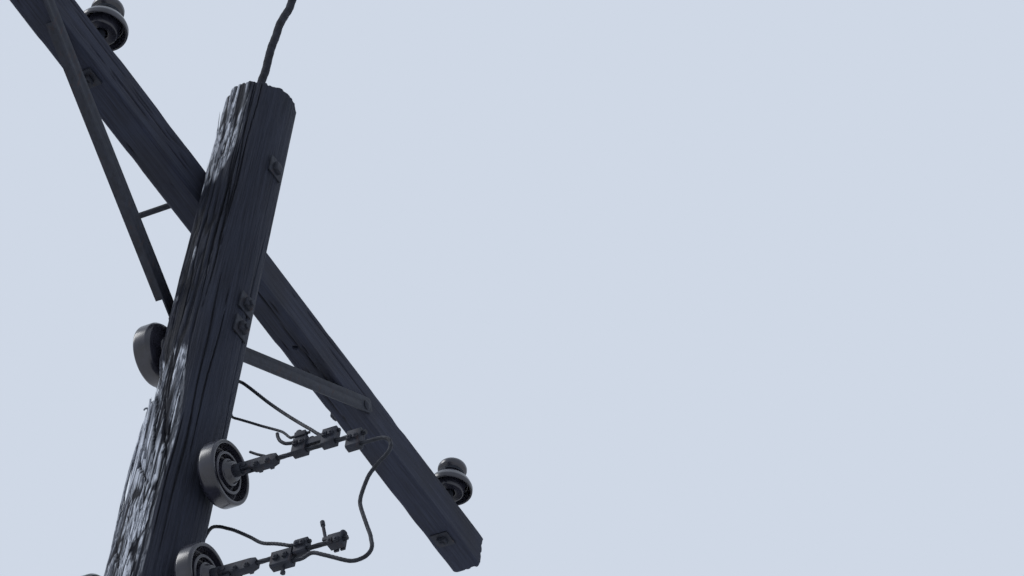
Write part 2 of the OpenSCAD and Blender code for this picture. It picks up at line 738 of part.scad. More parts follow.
// A round bar along a line of points: rings square to the way at each point, with closed ends
function way_dir(p, i) =
    let (a = p[max(i - 1, 0)], b = p[min(i + 1, len(p) - 1)]) (b - a) / norm(b - a);
function unit(v) = v / norm(v);
function ring(p, i, r, n, ref) =
    let (t = way_dir(p, i), u = unit(cross(t, ref)), v = cross(t, u))
    [for (k = [0 : n - 1]) p[i] + r * (cos(360 * k / n) * u + sin(360 * k / n) * v)];

module tube(p, d, n, ref = [0, 1, 0]) {
    last = len(p) - 1;
    points = [for (i = [0 : last]) each ring(p, i, d / 2, n, ref)];
    sides = [for (i = [0 : last - 1], k = [0 : n - 1])
        [i * n + k, i * n + (k + 1) % n, (i + 1) * n + (k + 1) % n, (i + 1) * n + k]];
    ends = [[for (k = [0 : n - 1]) n - 1 - k], [for (k = [0 : n - 1]) last * n + k]];
    polyhedron(points, concat(sides, ends));
}

pole();
crossarm();
crossarm_bolt();
crossarm_washers();
near_brace();
far_brace();
brace_arm_bolts();
brace_pole_bolt();
near_end_pin();
near_inner_pin();
far_end_pin();
near_end_insulator();
near_inner_insulator();
far_end_insulator();
left_upper_bell();
left_lower_bell();
right_upper_bell();
right_lower_bell();
bell_bolts();
bell_plates();
left_lugs();
eye_nuts();
clamps();
conductor_ends();
upper_connectors();
lower_connectors();
upper_jumper();
lower_jumper();
joining_jumper();
tap_jumper();
cut_tail();
top_rod();
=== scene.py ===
import math
from functools import cache

import bmesh
import bpy
import numpy as np
from bpy.props import FloatProperty, FloatVectorProperty, IntProperty, PointerProperty
from bpy.types import Operator, Panel, PropertyGroup
from mathutils import Euler, Matrix, Vector


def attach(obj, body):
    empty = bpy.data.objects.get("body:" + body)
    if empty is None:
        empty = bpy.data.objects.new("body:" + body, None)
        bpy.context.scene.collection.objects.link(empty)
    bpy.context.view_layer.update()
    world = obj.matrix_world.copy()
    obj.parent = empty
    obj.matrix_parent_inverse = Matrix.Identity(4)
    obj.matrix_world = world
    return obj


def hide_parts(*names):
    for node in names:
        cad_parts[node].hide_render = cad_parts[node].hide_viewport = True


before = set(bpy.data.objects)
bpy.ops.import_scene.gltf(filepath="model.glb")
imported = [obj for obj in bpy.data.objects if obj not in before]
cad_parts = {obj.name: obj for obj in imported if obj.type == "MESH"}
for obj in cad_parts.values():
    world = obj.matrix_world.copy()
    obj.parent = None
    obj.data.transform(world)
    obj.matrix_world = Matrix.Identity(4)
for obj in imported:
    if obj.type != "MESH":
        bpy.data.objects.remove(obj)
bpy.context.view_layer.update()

bl_info = {
    "name": "Telephone pole",
    "version": (1, 0, 0),
    "blender": (4, 5, 0),
    "location": "3D View > Sidebar > Pole",
    "description": "Timber pole with its crossarm, insulators, clamps, connectors and jumpers",
    "category": "Object",
}

# Sizes of the frame in millimetres. +Z is up, the arm lies along X and the lines run along Y.
# The pole: height, radius at the top, and how much the radius grows with each millimetre down
POLE_H, TOP_R, TAPER = 7500, 97.5, 0.004
# The arm: its middle, length, width, height and bevel, and its top, underside and front
ARM_Z, ARM_Y, ARM_LEN, ARM_W, ARM_H, ARM_BEVEL = 7160, -134.86, 3100, 92, 117, 7
ARM_TOP, ARM_BOTTOM, ARM_FRONT = 7218.5, 7101.5, -180.86
# The flat seat for the arm: its distance from the pole's axis, and its height past the arm on each side
GAIN_Y, GAIN_SPARE = 88.86, 2
# Bolts of arm and braces, how far out the braces reach, the pins, and an insulator's foot above the arm
ARM_BOLT_Z, BRACE_ARM_Z, BRACE_POLE_Z, BRACE_REACH = 7198, 7133.5, 6676.5, 838
PIN_OUTER, PIN_INNER, PIN_LIFT = 1400, 530, 66
# Bolts of the bells, and the two sides of the pole that the bells are on
LEFT_UPPER, RIGHT_UPPER, LOWER = 6591, 6078, 5753
LEFT, RIGHT = -1, 1
# Gap at a seat, then distances from there: a bell's rim and hub, a clamp, and the connectors on the two
# right conductors
SEAT = 0.3
BELL_RIM, HUB_END, CLAMP_Y = 68, 80, 127.6
FIRST_Y, UPPER_Y, UNDER_END = 241.6, 321.6, 429.6
DEEP_END, SMALL_Y, THIRD_END = 295.6, 298.6, 426.6
# Thickness of a plate or washer and half its width, width and thickness of a nut, thickness of a head
PLATE, WASHER, NUT_W, NUT, HEAD = 5, 28.5, 26, 14, 11
# Radii of a bolt, a carriage bolt and a hole, and the chamfer at a bar's ends
BOLT_R, CARRIAGE_R, HOLE_R, ROD_CHAMFER = 8, 6, 8.75, 1.2
# Free tail of the crossarm bolt, what is left of a bolt past its nut, length and height of the thread
# there, and thickness of a lug
BOLT_TAIL, TIP, THREAD, THREAD_H, LUG = 140, 6, 5.5, 0.8, 4

# Drying checks that the source cuts too: turn round the axis, lower end, length, width at the surface
POLE_CHECKS = [
    (-62, 4300, 2900, 10), (-38, 2600, 1500, 7), (-75, 900, 1900, 9), (25, 3700, 1250, 7),
    (48, 1200, 2300, 10), (150, 2200, 2700, 9), (205, 5100, 1300, 7), (118, 400, 1500, 6),
]

# Turns of the checks in the pole's top, and the height from which its edge is broken
TOP_CHECKS, TOP_BREAK = (-62, 20, 95, 150, 228), 7400

# The weather side: the turn of its middle, and the heights where it is narrowest, in the arm's painted
# shadow, palest and most worn
WEATHER_MIDDLE, NARROWEST, ARM_SHADOW_HEIGHT, PALEST, MOST_WORN = -55, 7110, 6785, 6170, 6080
# Lower and upper end of the stretch where its outer layer has broken away
BROKEN_LOW, BROKEN_HIGH = 6312, 6500
# Bleach of the pole's top, of splinters and of sprung slivers, and the height that grain tables reach
TOP_BLEACH, SPLINTER_BLEACH, SLIVER_BLEACH, GRAIN_H = 0.12, 0.75, 0.7, 8200

# Wide cracks that run aslant across the weather side: turn and height of each end, width and depth
POLE_GOUGES = [
    ((-18, 6350), (7, 6050), 11, 9), ((-3, 6310), (31, 6020), 7, 7), ((-38, 6145), (13, 5995), 13, 7),
    ((-36, 5860), (-2, 5740), 12, 7), ((-30, 6260), (-22, 6160), 7, 6), ((-25, 7360), (-16, 7180), 5, 4),
]

# The camera: its place in metres, and its turns in degrees: about the upright, up from straight down, and
# about its own view; and the width of its sensor in millimetres
CAMERA_PLACE, CAMERA_HEADING, CAMERA_TILT, CAMERA_ROLL = (3.9606, 3.4316, 1.6), 122.6529, 135.7071, 7.2255
SENSOR = 36

# The finishes by their names
POLE_WOOD, ARM_WOOD = "creosoted_pole_timber_weathered", "fir_arm_timber_sawn"
STEEL, RUSTED_STEEL = "mild_steel_hot_dip_galvanised", "mild_steel_rod_rusted"
PORCELAIN, ALUMINIUM = "porcelain_brown_glazed", "aluminium_conductor_drawn"

# Distance within which doubled points of a mesh are one, in metres
DOUBLED = 0.00002


def pole_r(z):
    """Radius of the pole at a height above the ground."""
    return TOP_R + TAPER * (POLE_H - z)


def face(z):
    """Distance from the pole's axis at which a fitting sits on it."""
    return pole_r(z) + SEAT


def linear(colour):
    """Turns an sRGB hex colour into the linear values that Blender's sockets hold."""
    parts = [int(colour[i : i + 2], 16) / 255 for i in (1, 3, 5)]
    return [c / 12.92 if c <= 0.04045 else ((c + 0.055) / 1.055) ** 2.4 for c in parts]


# Settings


class TimberSettings(PropertyGroup):
    """Sizes of what weather has done to the timber."""

    check_depth: FloatProperty(
        name="Check depth", description="Depth of the long drying checks in the pole",
        default=0.014, min=0.002, max=0.03, unit="LENGTH",
    )
    fibre_height: FloatProperty(
        name="Fibre height", description="Height of the raised fibres on the pole's bleached side",
        default=0.0022, min=0.0, max=0.006, unit="LENGTH",
    )
    splinter_count: FloatProperty(
        name="Splinters", description="Splinters on a square metre of bleached timber",
        default=420.0, min=0.0, max=1500.0,
    )
    arm_wear: FloatProperty(
        name="Arm wear", description="How far the arm's long edges are worn away in places",
        default=0.003, min=0.0, max=0.008, unit="LENGTH",
    )


class HardwareSettings(PropertyGroup):
    """Sizes of the steel and of the conductors."""

    thread_pitch: FloatProperty(
        name="Thread pitch", description="Distance between two turns of a drawn thread",
        default=0.003, min=0.001, max=0.006, unit="LENGTH",
    )
    edge_wear: FloatProperty(
        name="Edge wear", description="Width of the rounding along the edges of forged and rolled steel",
        default=0.0009, min=0.0002, max=0.002, unit="LENGTH",
    )
    lay_length: FloatProperty(
        name="Lay length", description="Length in which a conductor's outer wires turn once round it",
        default=0.15, min=0.05, max=0.4, unit="LENGTH",
    )
    outer_wires: IntProperty(
        name="Outer wires", description="Number of wires round a conductor's middle wire",
        default=6, min=5, max=12,
    )


class FinishSettings(PropertyGroup):
    """Main colours of the finishes."""

    creosote: FloatVectorProperty(
        name="Creosoted timber", description="Darkest colour of the treated pole",
        default=linear("#161b29"), size=3, min=0.0, max=1.0, subtype="COLOR",
    )
    silver: FloatVectorProperty(
        name="Bleached timber", description="Colour of the pole's sun-bleached fibres",
        default=linear("#d4ddee"), size=3, min=0.0, max=1.0, subtype="COLOR",
    )
    arm: FloatVectorProperty(
        name="Arm timber", description="Middle colour of the weathered arm",
        default=linear("#191d2b"), size=3, min=0.0, max=1.0, subtype="COLOR",
    )
    zinc: FloatVectorProperty(
        name="Zinc", description="Colour of the dull zinc coat on the steel",
        default=linear("#1f232e"), size=3, min=0.0, max=1.0, subtype="COLOR",
    )
    glaze: FloatVectorProperty(
        name="Glaze", description="Colour of the dark brown glaze",
        default=linear("#24252f"), size=3, min=0.0, max=1.0, subtype="COLOR",
    )
    wire: FloatVectorProperty(
        name="Conductor", description="Colour of the weathered conductors",
        default=linear("#242934"), size=3, min=0.0, max=1.0, subtype="COLOR",
    )
    rust: FloatVectorProperty(
        name="Rust", description="Colour of the rusted rod's scale",
        default=linear("#171a24"), size=3, min=0.0, max=1.0, subtype="COLOR",
    )


class StageSettings(PropertyGroup):
    """Camera, light and backdrop."""

    focal_length: FloatProperty(
        name="Focal length", description="Focal length of the camera on a 36 mm sensor, in millimetres",
        default=99.77, min=20.0, max=300.0,
    )
    light: FloatProperty(
        name="Light", description="Strength of the even light all round", default=0.85, min=0.0, max=3.0,
    )
    floor: FloatVectorProperty(
        name="Floor", description="Colour of the plain floor",
        default=linear("#dcdfe3"), size=3, min=0.0, max=1.0, subtype="COLOR",
    )
    backdrop: FloatVectorProperty(
        name="Backdrop", description="Colour of the plain backdrop",
        default=linear("#cfd8e6"), size=3, min=0.0, max=1.0, subtype="COLOR",
    )


# Materials


def connect(tree, node, inputs):
    """Fills a node's inputs, by name or number: each with a value or a link from another node's socket."""
    for key, value in inputs.items():
        if isinstance(value, bpy.types.NodeSocket):
            tree.links.new(value, node.inputs[key])
        else:
            node.inputs[key].default_value = value


def add(tree, kind, inputs=None, **settings):
    """Adds one node with its inputs and its settings."""
    made = tree.nodes.new(kind)
    for name, value in settings.items():
        setattr(made, name, value)
    connect(tree, made, inputs or {})
    return made


def begun(name):
    """A new material under its name, its node tree and its shader."""
    made = bpy.data.materials.new(name)
    made.use_nodes = True
    return made, made.node_tree, made.node_tree.nodes["Principled BSDF"]


def rgba(colour, factor=1.0):
    """A linear colour as a socket takes it, made darker or lighter by a factor."""
    return (*(min(1.0, c * factor) for c in colour), 1.0)


def creosoted_pole_timber(colours):
    """Softwood treated with creosote, rough peeled and weathered.

    The dark side keeps its oily blue-black. On the bleached side the sun has turned the raised
    fibres silver, between grooves about 3 mm apart; the shade in grooves and checks is painted near black.
    """
    made, tree, shader = begun(POLE_WOOD)
    place = add(tree, "ShaderNodeTexCoord").outputs["Object"]
    fibre_place = add(tree, "ShaderNodeMapping", {"Vector": place, "Scale": (1, 1, 0.018)}).outputs[0]
    # Fibres 3 mm wide: 1 / 0.003 m
    fibre = add(tree, "ShaderNodeTexNoise", {
        "Vector": fibre_place, "Scale": 330, "Detail": 5, "Roughness": 0.65}).outputs[0]
    streak_place = add(tree, "ShaderNodeMapping", {"Vector": place, "Scale": (1, 1, 0.05)}).outputs[0]
    # Streaks 14 mm wide and 300 mm long
    streak = add(tree, "ShaderNodeTexNoise", {
        "Vector": streak_place, "Scale": 70, "Detail": 3, "Roughness": 0.55}).outputs[0]
    # Blotches of 250 mm, where the treatment has run or stayed
    blotch = add(tree, "ShaderNodeTexNoise", {"Vector": place, "Scale": 4, "Detail": 3}).outputs[0]
    # The sun's bleach, cut back below the arm where the arm's shadow is painted
    bleach = add(tree, "ShaderNodeAttribute", attribute_name="bleach").outputs["Fac"]
    split = add(tree, "ShaderNodeAttribute", attribute_name="split").outputs["Fac"]
    contrast = add(tree, "ShaderNodeMapRange", {0: fibre, 1: 0.36, 2: 0.66}).outputs[0]
    dark = add(tree, "ShaderNodeMix", {
        0: contrast, 6: rgba(colours.creosote, 0.8), 7: rgba(colours.creosote, 1.7),
    }, data_type="RGBA").outputs[2]
    dark_blotch = add(tree, "ShaderNodeMapRange", {0: blotch, 1: 0.4, 2: 0.7, 3: 0.0, 4: 0.5}).outputs[0]
    dark = add(tree, "ShaderNodeMix", {
        0: dark_blotch, 6: dark, 7: rgba(linear("#252c3d"))}, data_type="RGBA").outputs[2]
    # Silver fibres, each streak of them paler or darker than the next
    fine = add(tree, "ShaderNodeMapRange", {0: contrast, 3: 0.55, 4: 1.0}).outputs[0]
    streaky = add(tree, "ShaderNodeMapRange", {0: streak, 1: 0.38, 2: 0.55, 3: 0.2, 4: 1.0}).outputs[0]
    torn_place = add(tree, "ShaderNodeMapping", {"Vector": place, "Scale": (1, 1, 0.15)}).outputs[0]
    # Broken fibre ends, 6 mm wide and 40 mm long, whose pale specks in the colour are also painted glints on
    # the fibres
    torn_ends_and_glints = add(tree, "ShaderNodeTexNoise", {
        "Vector": torn_place, "Scale": 165, "Detail": 4, "Roughness": 0.7, "Distortion": 0.6}).outputs[0]
    # Dark and pale specks of the torn fibres, the pale ones also painted glints
    ragged = add(tree, "ShaderNodeMapRange", {0: torn_ends_and_glints, 1: 0.43, 2: 0.54, 3: 0.12, 4: 1.0}).outputs[0]
    streaky = add(tree, "ShaderNodeMath", {0: streaky, 1: ragged}, operation="MULTIPLY").outputs[0]
    tone = add(tree, "ShaderNodeMath", {0: fine, 1: streaky}, operation="MULTIPLY").outputs[0]
    # The palest plates are silver right across, whatever streak they lie in
    pale = add(tree, "ShaderNodeMapRange", {0: bleach, 1: 1.0, 2: 1.5, 3: 0.0, 4: 0.95}).outputs[0]
    pale = add(tree, "ShaderNodeMath", {0: pale, 1: fine}, operation="MULTIPLY").outputs[0]
    tone = add(tree, "ShaderNodeMath", {0: tone, 1: pale}, operation="MAXIMUM").outputs[0]
    silver = add(tree, "ShaderNodeMix", {
        0: tone, 6: rgba(linear("#333947")), 7: rgba(colours.silver)}, data_type="RGBA").outputs[2]
    patchy = add(tree, "ShaderNodeMath", {0: streak, 1: 0.7, 2: -0.35}, operation="MULTIPLY_ADD").outputs[0]
    reach = add(tree, "ShaderNodeMath", {0: bleach, 1: patchy}, operation="ADD").outputs[0]
    mask = add(tree, "ShaderNodeMapRange", {0: reach, 1: 0.35, 2: 0.6}).outputs[0]
    skin = add(tree, "ShaderNodeMix", {0: mask, 6: dark, 7: silver}, data_type="RGBA").outputs[2]
    # Shade inside the checks, cracks and grooves is painted near black
    colour = add(tree, "ShaderNodeMix", {
        0: split, 6: skin, 7: rgba(linear("#0b0f1b"))}, data_type="RGBA").outputs[2]
    rough = add(tree, "ShaderNodeMapRange", {0: contrast, 3: 0.92, 4: 0.72}).outputs[0]
    height = add(tree, "ShaderNodeMath", {0: torn_ends_and_glints, 1: 0.8, 2: fibre}, operation="MULTIPLY_ADD").outputs[0]
    bump = add(tree, "ShaderNodeBump", {"Height": height, "Strength": 0.9, "Distance": 0.005}).outputs[0]
    connect(tree, shader, {
        "Base Color": colour, "Roughness": rough, "Normal": bump, "IOR": 1.45, "Specular IOR Level": 0.35})
    return made


def sawn_arm_timber(colours):
    """Fir, sawn and planed, then weathered to a dark blue-grey.

    The grain runs along the arm in bands 9 mm wide with fine lines between them, and the saw's
    marks are almost gone.
    """
    made, tree, shader = begun(ARM_WOOD)
    place = add(tree, "ShaderNodeTexCoord").outputs["Object"]
    grain_place = add(tree, "ShaderNodeMapping", {"Vector": place, "Scale": (0.02, 1, 1)}).outputs[0]
    # Grain bands 9 mm wide, and lines 2.5 mm wide
    band = add(tree, "ShaderNodeTexNoise", {
        "Vector": grain_place, "Scale": 110, "Detail": 4, "Roughness": 0.6}).outputs[0]
    line = add(tree, "ShaderNodeTexNoise", {
        "Vector": grain_place, "Scale": 400, "Detail": 3, "Roughness": 0.6}).outputs[0]
    # Stains of 150 mm round the fittings and where water stands
    stain = add(tree, "ShaderNodeTexNoise", {"Vector": place, "Scale": 7, "Detail": 3}).outputs[0]
    split = add(tree, "ShaderNodeAttribute", attribute_name="split").outputs["Fac"]
    contrast = add(tree, "ShaderNodeMapRange", {0: line, 1: 0.35, 2: 0.68}).outputs[0]
    fine = add(tree, "ShaderNodeMix", {
        0: contrast, 6: rgba(colours.arm, 0.7), 7: rgba(colours.arm, 2.1)}, data_type="RGBA").outputs[2]
    broad = add(tree, "ShaderNodeMapRange", {0: band, 1: 0.4, 2: 0.62, 3: 0.0, 4: 0.55}).outputs[0]
    wood = add(tree, "ShaderNodeMix", {
        0: broad, 6: fine, 7: rgba(linear("#232a3b"))}, data_type="RGBA").outputs[2]
    wet = add(tree, "ShaderNodeMapRange", {0: stain, 1: 0.45, 2: 0.7, 3: 0.0, 4: 0.6}).outputs[0]
    wood = add(tree, "ShaderNodeMix", {
        0: wet, 6: wood, 7: rgba(linear("#1c1e27"))}, data_type="RGBA").outputs[2]
    # Shade inside the arm's checks is painted near black
    colour = add(tree, "ShaderNodeMix", {
        0: split, 6: wood, 7: rgba(linear("#0d0f19"))}, data_type="RGBA").outputs[2]
    rough = add(tree, "ShaderNodeMapRange", {0: band, 3: 0.92, 4: 0.7}).outputs[0]
    height = add(tree, "ShaderNodeMath", {0: band, 1: 0.8, 2: line}, operation="MULTIPLY_ADD").outputs[0]
    bump = add(tree, "ShaderNodeBump", {"Height": height, "Strength": 0.6, "Distance": 0.002}).outputs[0]
    connect(tree, shader, {
        "Base Color": colour, "Roughness": rough, "Normal": bump, "IOR": 1.45, "Specular IOR Level": 0.35})
    return made


def galvanised_steel(colours):
    """Mild steel, forged or rolled and hot-dip galvanised, many years outdoors.

    The zinc is dull grey with a cloudy crystal pattern of about 12 mm, and rust has begun in
    spots and run down in dull brown streaks.
    """
    made, tree, shader = begun(STEEL)
    place = add(tree, "ShaderNodeTexCoord").outputs["Object"]
    # Zinc crystals 12 mm across
    spangle = add(tree, "ShaderNodeTexVoronoi", {"Vector": place, "Scale": 83}).outputs["Color"]
    value = add(tree, "ShaderNodeSeparateColor", {0: spangle}).outputs[0]
    # White bloom in patches of 30 mm
    bloom = add(tree, "ShaderNodeTexNoise", {
        "Vector": place, "Scale": 33, "Detail": 5, "Roughness": 0.6}).outputs[0]
    run_place = add(tree, "ShaderNodeMapping", {"Vector": place, "Scale": (1, 1, 0.25)}).outputs[0]
    # Rust in runs 16 mm wide and 60 mm long
    run = add(tree, "ShaderNodeTexNoise", {
        "Vector": run_place, "Scale": 62, "Detail": 6, "Roughness": 0.7}).outputs[0]
    zinc = add(tree, "ShaderNodeMix", {
        0: value, 6: rgba(colours.zinc, 0.8), 7: rgba(colours.zinc, 1.25)}, data_type="RGBA").outputs[2]
    white = add(tree, "ShaderNodeMapRange", {0: bloom, 1: 0.52, 2: 0.78, 3: 0.0, 4: 0.35}).outputs[0]
    zinc = add(tree, "ShaderNodeMix", {
        0: white, 6: zinc, 7: rgba(linear("#383e4c"))}, data_type="RGBA").outputs[2]
    rusty = add(tree, "ShaderNodeMapRange", {0: run, 1: 0.56, 2: 0.68, 3: 0.0, 4: 0.8}).outputs[0]
    colour = add(tree, "ShaderNodeMix", {
        0: rusty, 6: zinc, 7: rgba(linear("#34282a"))}, data_type="RGBA").outputs[2]
    metal = add(tree, "ShaderNodeMapRange", {0: rusty, 3: 0.45, 4: 0.1}).outputs[0]
    rough = add(tree, "ShaderNodeMapRange", {0: rusty, 3: 0.62, 4: 0.9}).outputs[0]
    bump = add(tree, "ShaderNodeBump", {"Height": run, "Strength": 0.35, "Distance": 0.001}).outputs[0]
    connect(tree, shader, {"Base Color": colour, "Metallic": metal, "Roughness": rough, "Normal": bump})
    return made


def rusted_rod_steel(colours):
    """Mild steel rod, rolled and uncoated, rusted right over.

    A nearly black scale with browner pits 5 mm across and a coarse, dull skin.
    """
    made, tree, shader = begun(RUSTED_STEEL)
    place = add(tree, "ShaderNodeTexCoord").outputs["Object"]
    # Scale in flakes of 18 mm, pits of 5 mm
    flake = add(tree, "ShaderNodeTexNoise", {
        "Vector": place, "Scale": 55, "Detail": 5, "Roughness": 0.65}).outputs[0]
    pit = add(tree, "ShaderNodeTexNoise", {"Vector": place, "Scale": 200, "Detail": 4}).outputs[0]
    scaled = add(tree, "ShaderNodeMapRange", {0: flake, 1: 0.35, 2: 0.65}).outputs[0]
    scale = add(tree, "ShaderNodeMix", {
        0: scaled, 6: rgba(colours.rust, 0.7), 7: rgba(colours.rust, 1.8)}, data_type="RGBA").outputs[2]
    pitted = add(tree, "ShaderNodeMapRange", {0: pit, 1: 0.55, 2: 0.7, 3: 0.0, 4: 0.7}).outputs[0]
    colour = add(tree, "ShaderNodeMix", {
        0: pitted, 6: scale, 7: rgba(linear("#29262c"))}, data_type="RGBA").outputs[2]
    height = add(tree, "ShaderNodeMath", {0: pit, 1: 0.7, 2: flake}, operation="MULTIPLY_ADD").outputs[0]
    bump = add(tree, "ShaderNodeBump", {"Height": height, "Strength": 0.8, "Distance": 0.002}).outputs[0]
    connect(tree, shader, {
        "Base Color": colour, "Normal": bump, "Metallic": 0.1, "Roughness": 0.88, "Specular IOR Level": 0.3})
    return made


def brown_glazed_porcelain(colours):
    """Electrical porcelain, turned, dipped and fired with a brown glaze.

    So deep a brown that it looks black, glassy and a little paler where the glaze has run thin,
    with fine dark specks, and dust that dulls its upper sides.
    """
    made, tree, shader = begun(PORCELAIN)
    spot = add(tree, "ShaderNodeTexCoord").outputs
    place = spot["Object"]
    # Glaze thickness changes over 40 mm, and iron specks are 2 mm across
    pool = add(tree, "ShaderNodeTexNoise", {"Vector": place, "Scale": 25, "Detail": 3}).outputs[0]
    speck = add(tree, "ShaderNodeTexNoise", {"Vector": place, "Scale": 480, "Detail": 2}).outputs[0]
    # Dust in patches of 15 mm on what faces upwards
    dust = add(tree, "ShaderNodeTexNoise", {
        "Vector": place, "Scale": 65, "Detail": 5, "Roughness": 0.65}).outputs[0]
    upwards = add(tree, "ShaderNodeSeparateXYZ", {0: spot["Normal"]}).outputs[2]
    pooled = add(tree, "ShaderNodeMapRange", {0: pool, 1: 0.35, 2: 0.65}).outputs[0]
    glaze = add(tree, "ShaderNodeMix", {
        0: pooled, 6: rgba(colours.glaze, 0.7), 7: rgba(colours.glaze, 1.35)}, data_type="RGBA").outputs[2]
    specked = add(tree, "ShaderNodeMapRange", {0: speck, 1: 0.62, 2: 0.7, 3: 0.0, 4: 0.6}).outputs[0]
    glaze = add(tree, "ShaderNodeMix", {
        0: specked, 6: glaze, 7: rgba(linear("#16141a"))}, data_type="RGBA").outputs[2]
    lying = add(tree, "ShaderNodeMath", {0: upwards, 1: dust}, operation="MULTIPLY").outputs[0]
    dusty = add(tree, "ShaderNodeMapRange", {0: lying, 1: 0.22, 2: 0.6, 3: 0.0, 4: 0.4}).outputs[0]
    colour = add(tree, "ShaderNodeMix", {
        0: dusty, 6: glaze, 7: rgba(linear("#393c46"))}, data_type="RGBA").outputs[2]
    rough = add(tree, "ShaderNodeMapRange", {0: dusty, 2: 0.6, 3: 0.26, 4: 0.65}).outputs[0]
    bump = add(tree, "ShaderNodeBump", {"Height": pool, "Strength": 0.15, "Distance": 0.001}).outputs[0]
    connect(tree, shader, {
        "Base Color": colour, "Roughness": rough, "Normal": bump, "IOR": 1.5, "Coat Weight": 0.1,
        "Coat Roughness": 0.15})
    return made


def weathered_conductor(colours):
    """Aluminium conductor wire, drawn and stranded, gone dull outdoors.

    A soft dark grey, with painted shade darkening the valleys between the wires so the crests look paler.
    """
    made, tree, shader = begun(ALUMINIUM)
    place = add(tree, "ShaderNodeTexCoord").outputs["Object"]
    # Grime in patches of 20 mm, drawing marks of 1.5 mm
    grime = add(tree, "ShaderNodeTexNoise", {
        "Vector": place, "Scale": 50, "Detail": 5, "Roughness": 0.6}).outputs[0]
    mark = add(tree, "ShaderNodeTexNoise", {"Vector": place, "Scale": 650, "Detail": 2}).outputs[0]
    valley = add(tree, "ShaderNodeAttribute", attribute_name="valley").outputs["Fac"]
    bare = add(tree, "ShaderNodeMix", {
        0: mark, 6: rgba(colours.wire, 0.85), 7: rgba(colours.wire, 1.3)}, data_type="RGBA").outputs[2]
    dirty = add(tree, "ShaderNodeMapRange", {0: grime, 1: 0.42, 2: 0.68, 3: 0.0, 4: 0.7}).outputs[0]
    bare = add(tree, "ShaderNodeMix", {
        0: dirty, 6: bare, 7: rgba(linear("#1d1f24"))}, data_type="RGBA").outputs[2]
    # Painted shade in the valleys between the wires
    colour = add(tree, "ShaderNodeMix", {
        0: valley, 6: bare, 7: rgba(linear("#14161d"))}, data_type="RGBA").outputs[2]
    rough = add(tree, "ShaderNodeMapRange", {0: dirty, 3: 0.5, 4: 0.8}).outputs[0]
    bump = add(tree, "ShaderNodeBump", {"Height": mark, "Strength": 0.2, "Distance": 0.0005}).outputs[0]
    connect(tree, shader, {"Base Color": colour, "Roughness": rough, "Normal": bump, "Metallic": 0.5})
    return made


# Forms


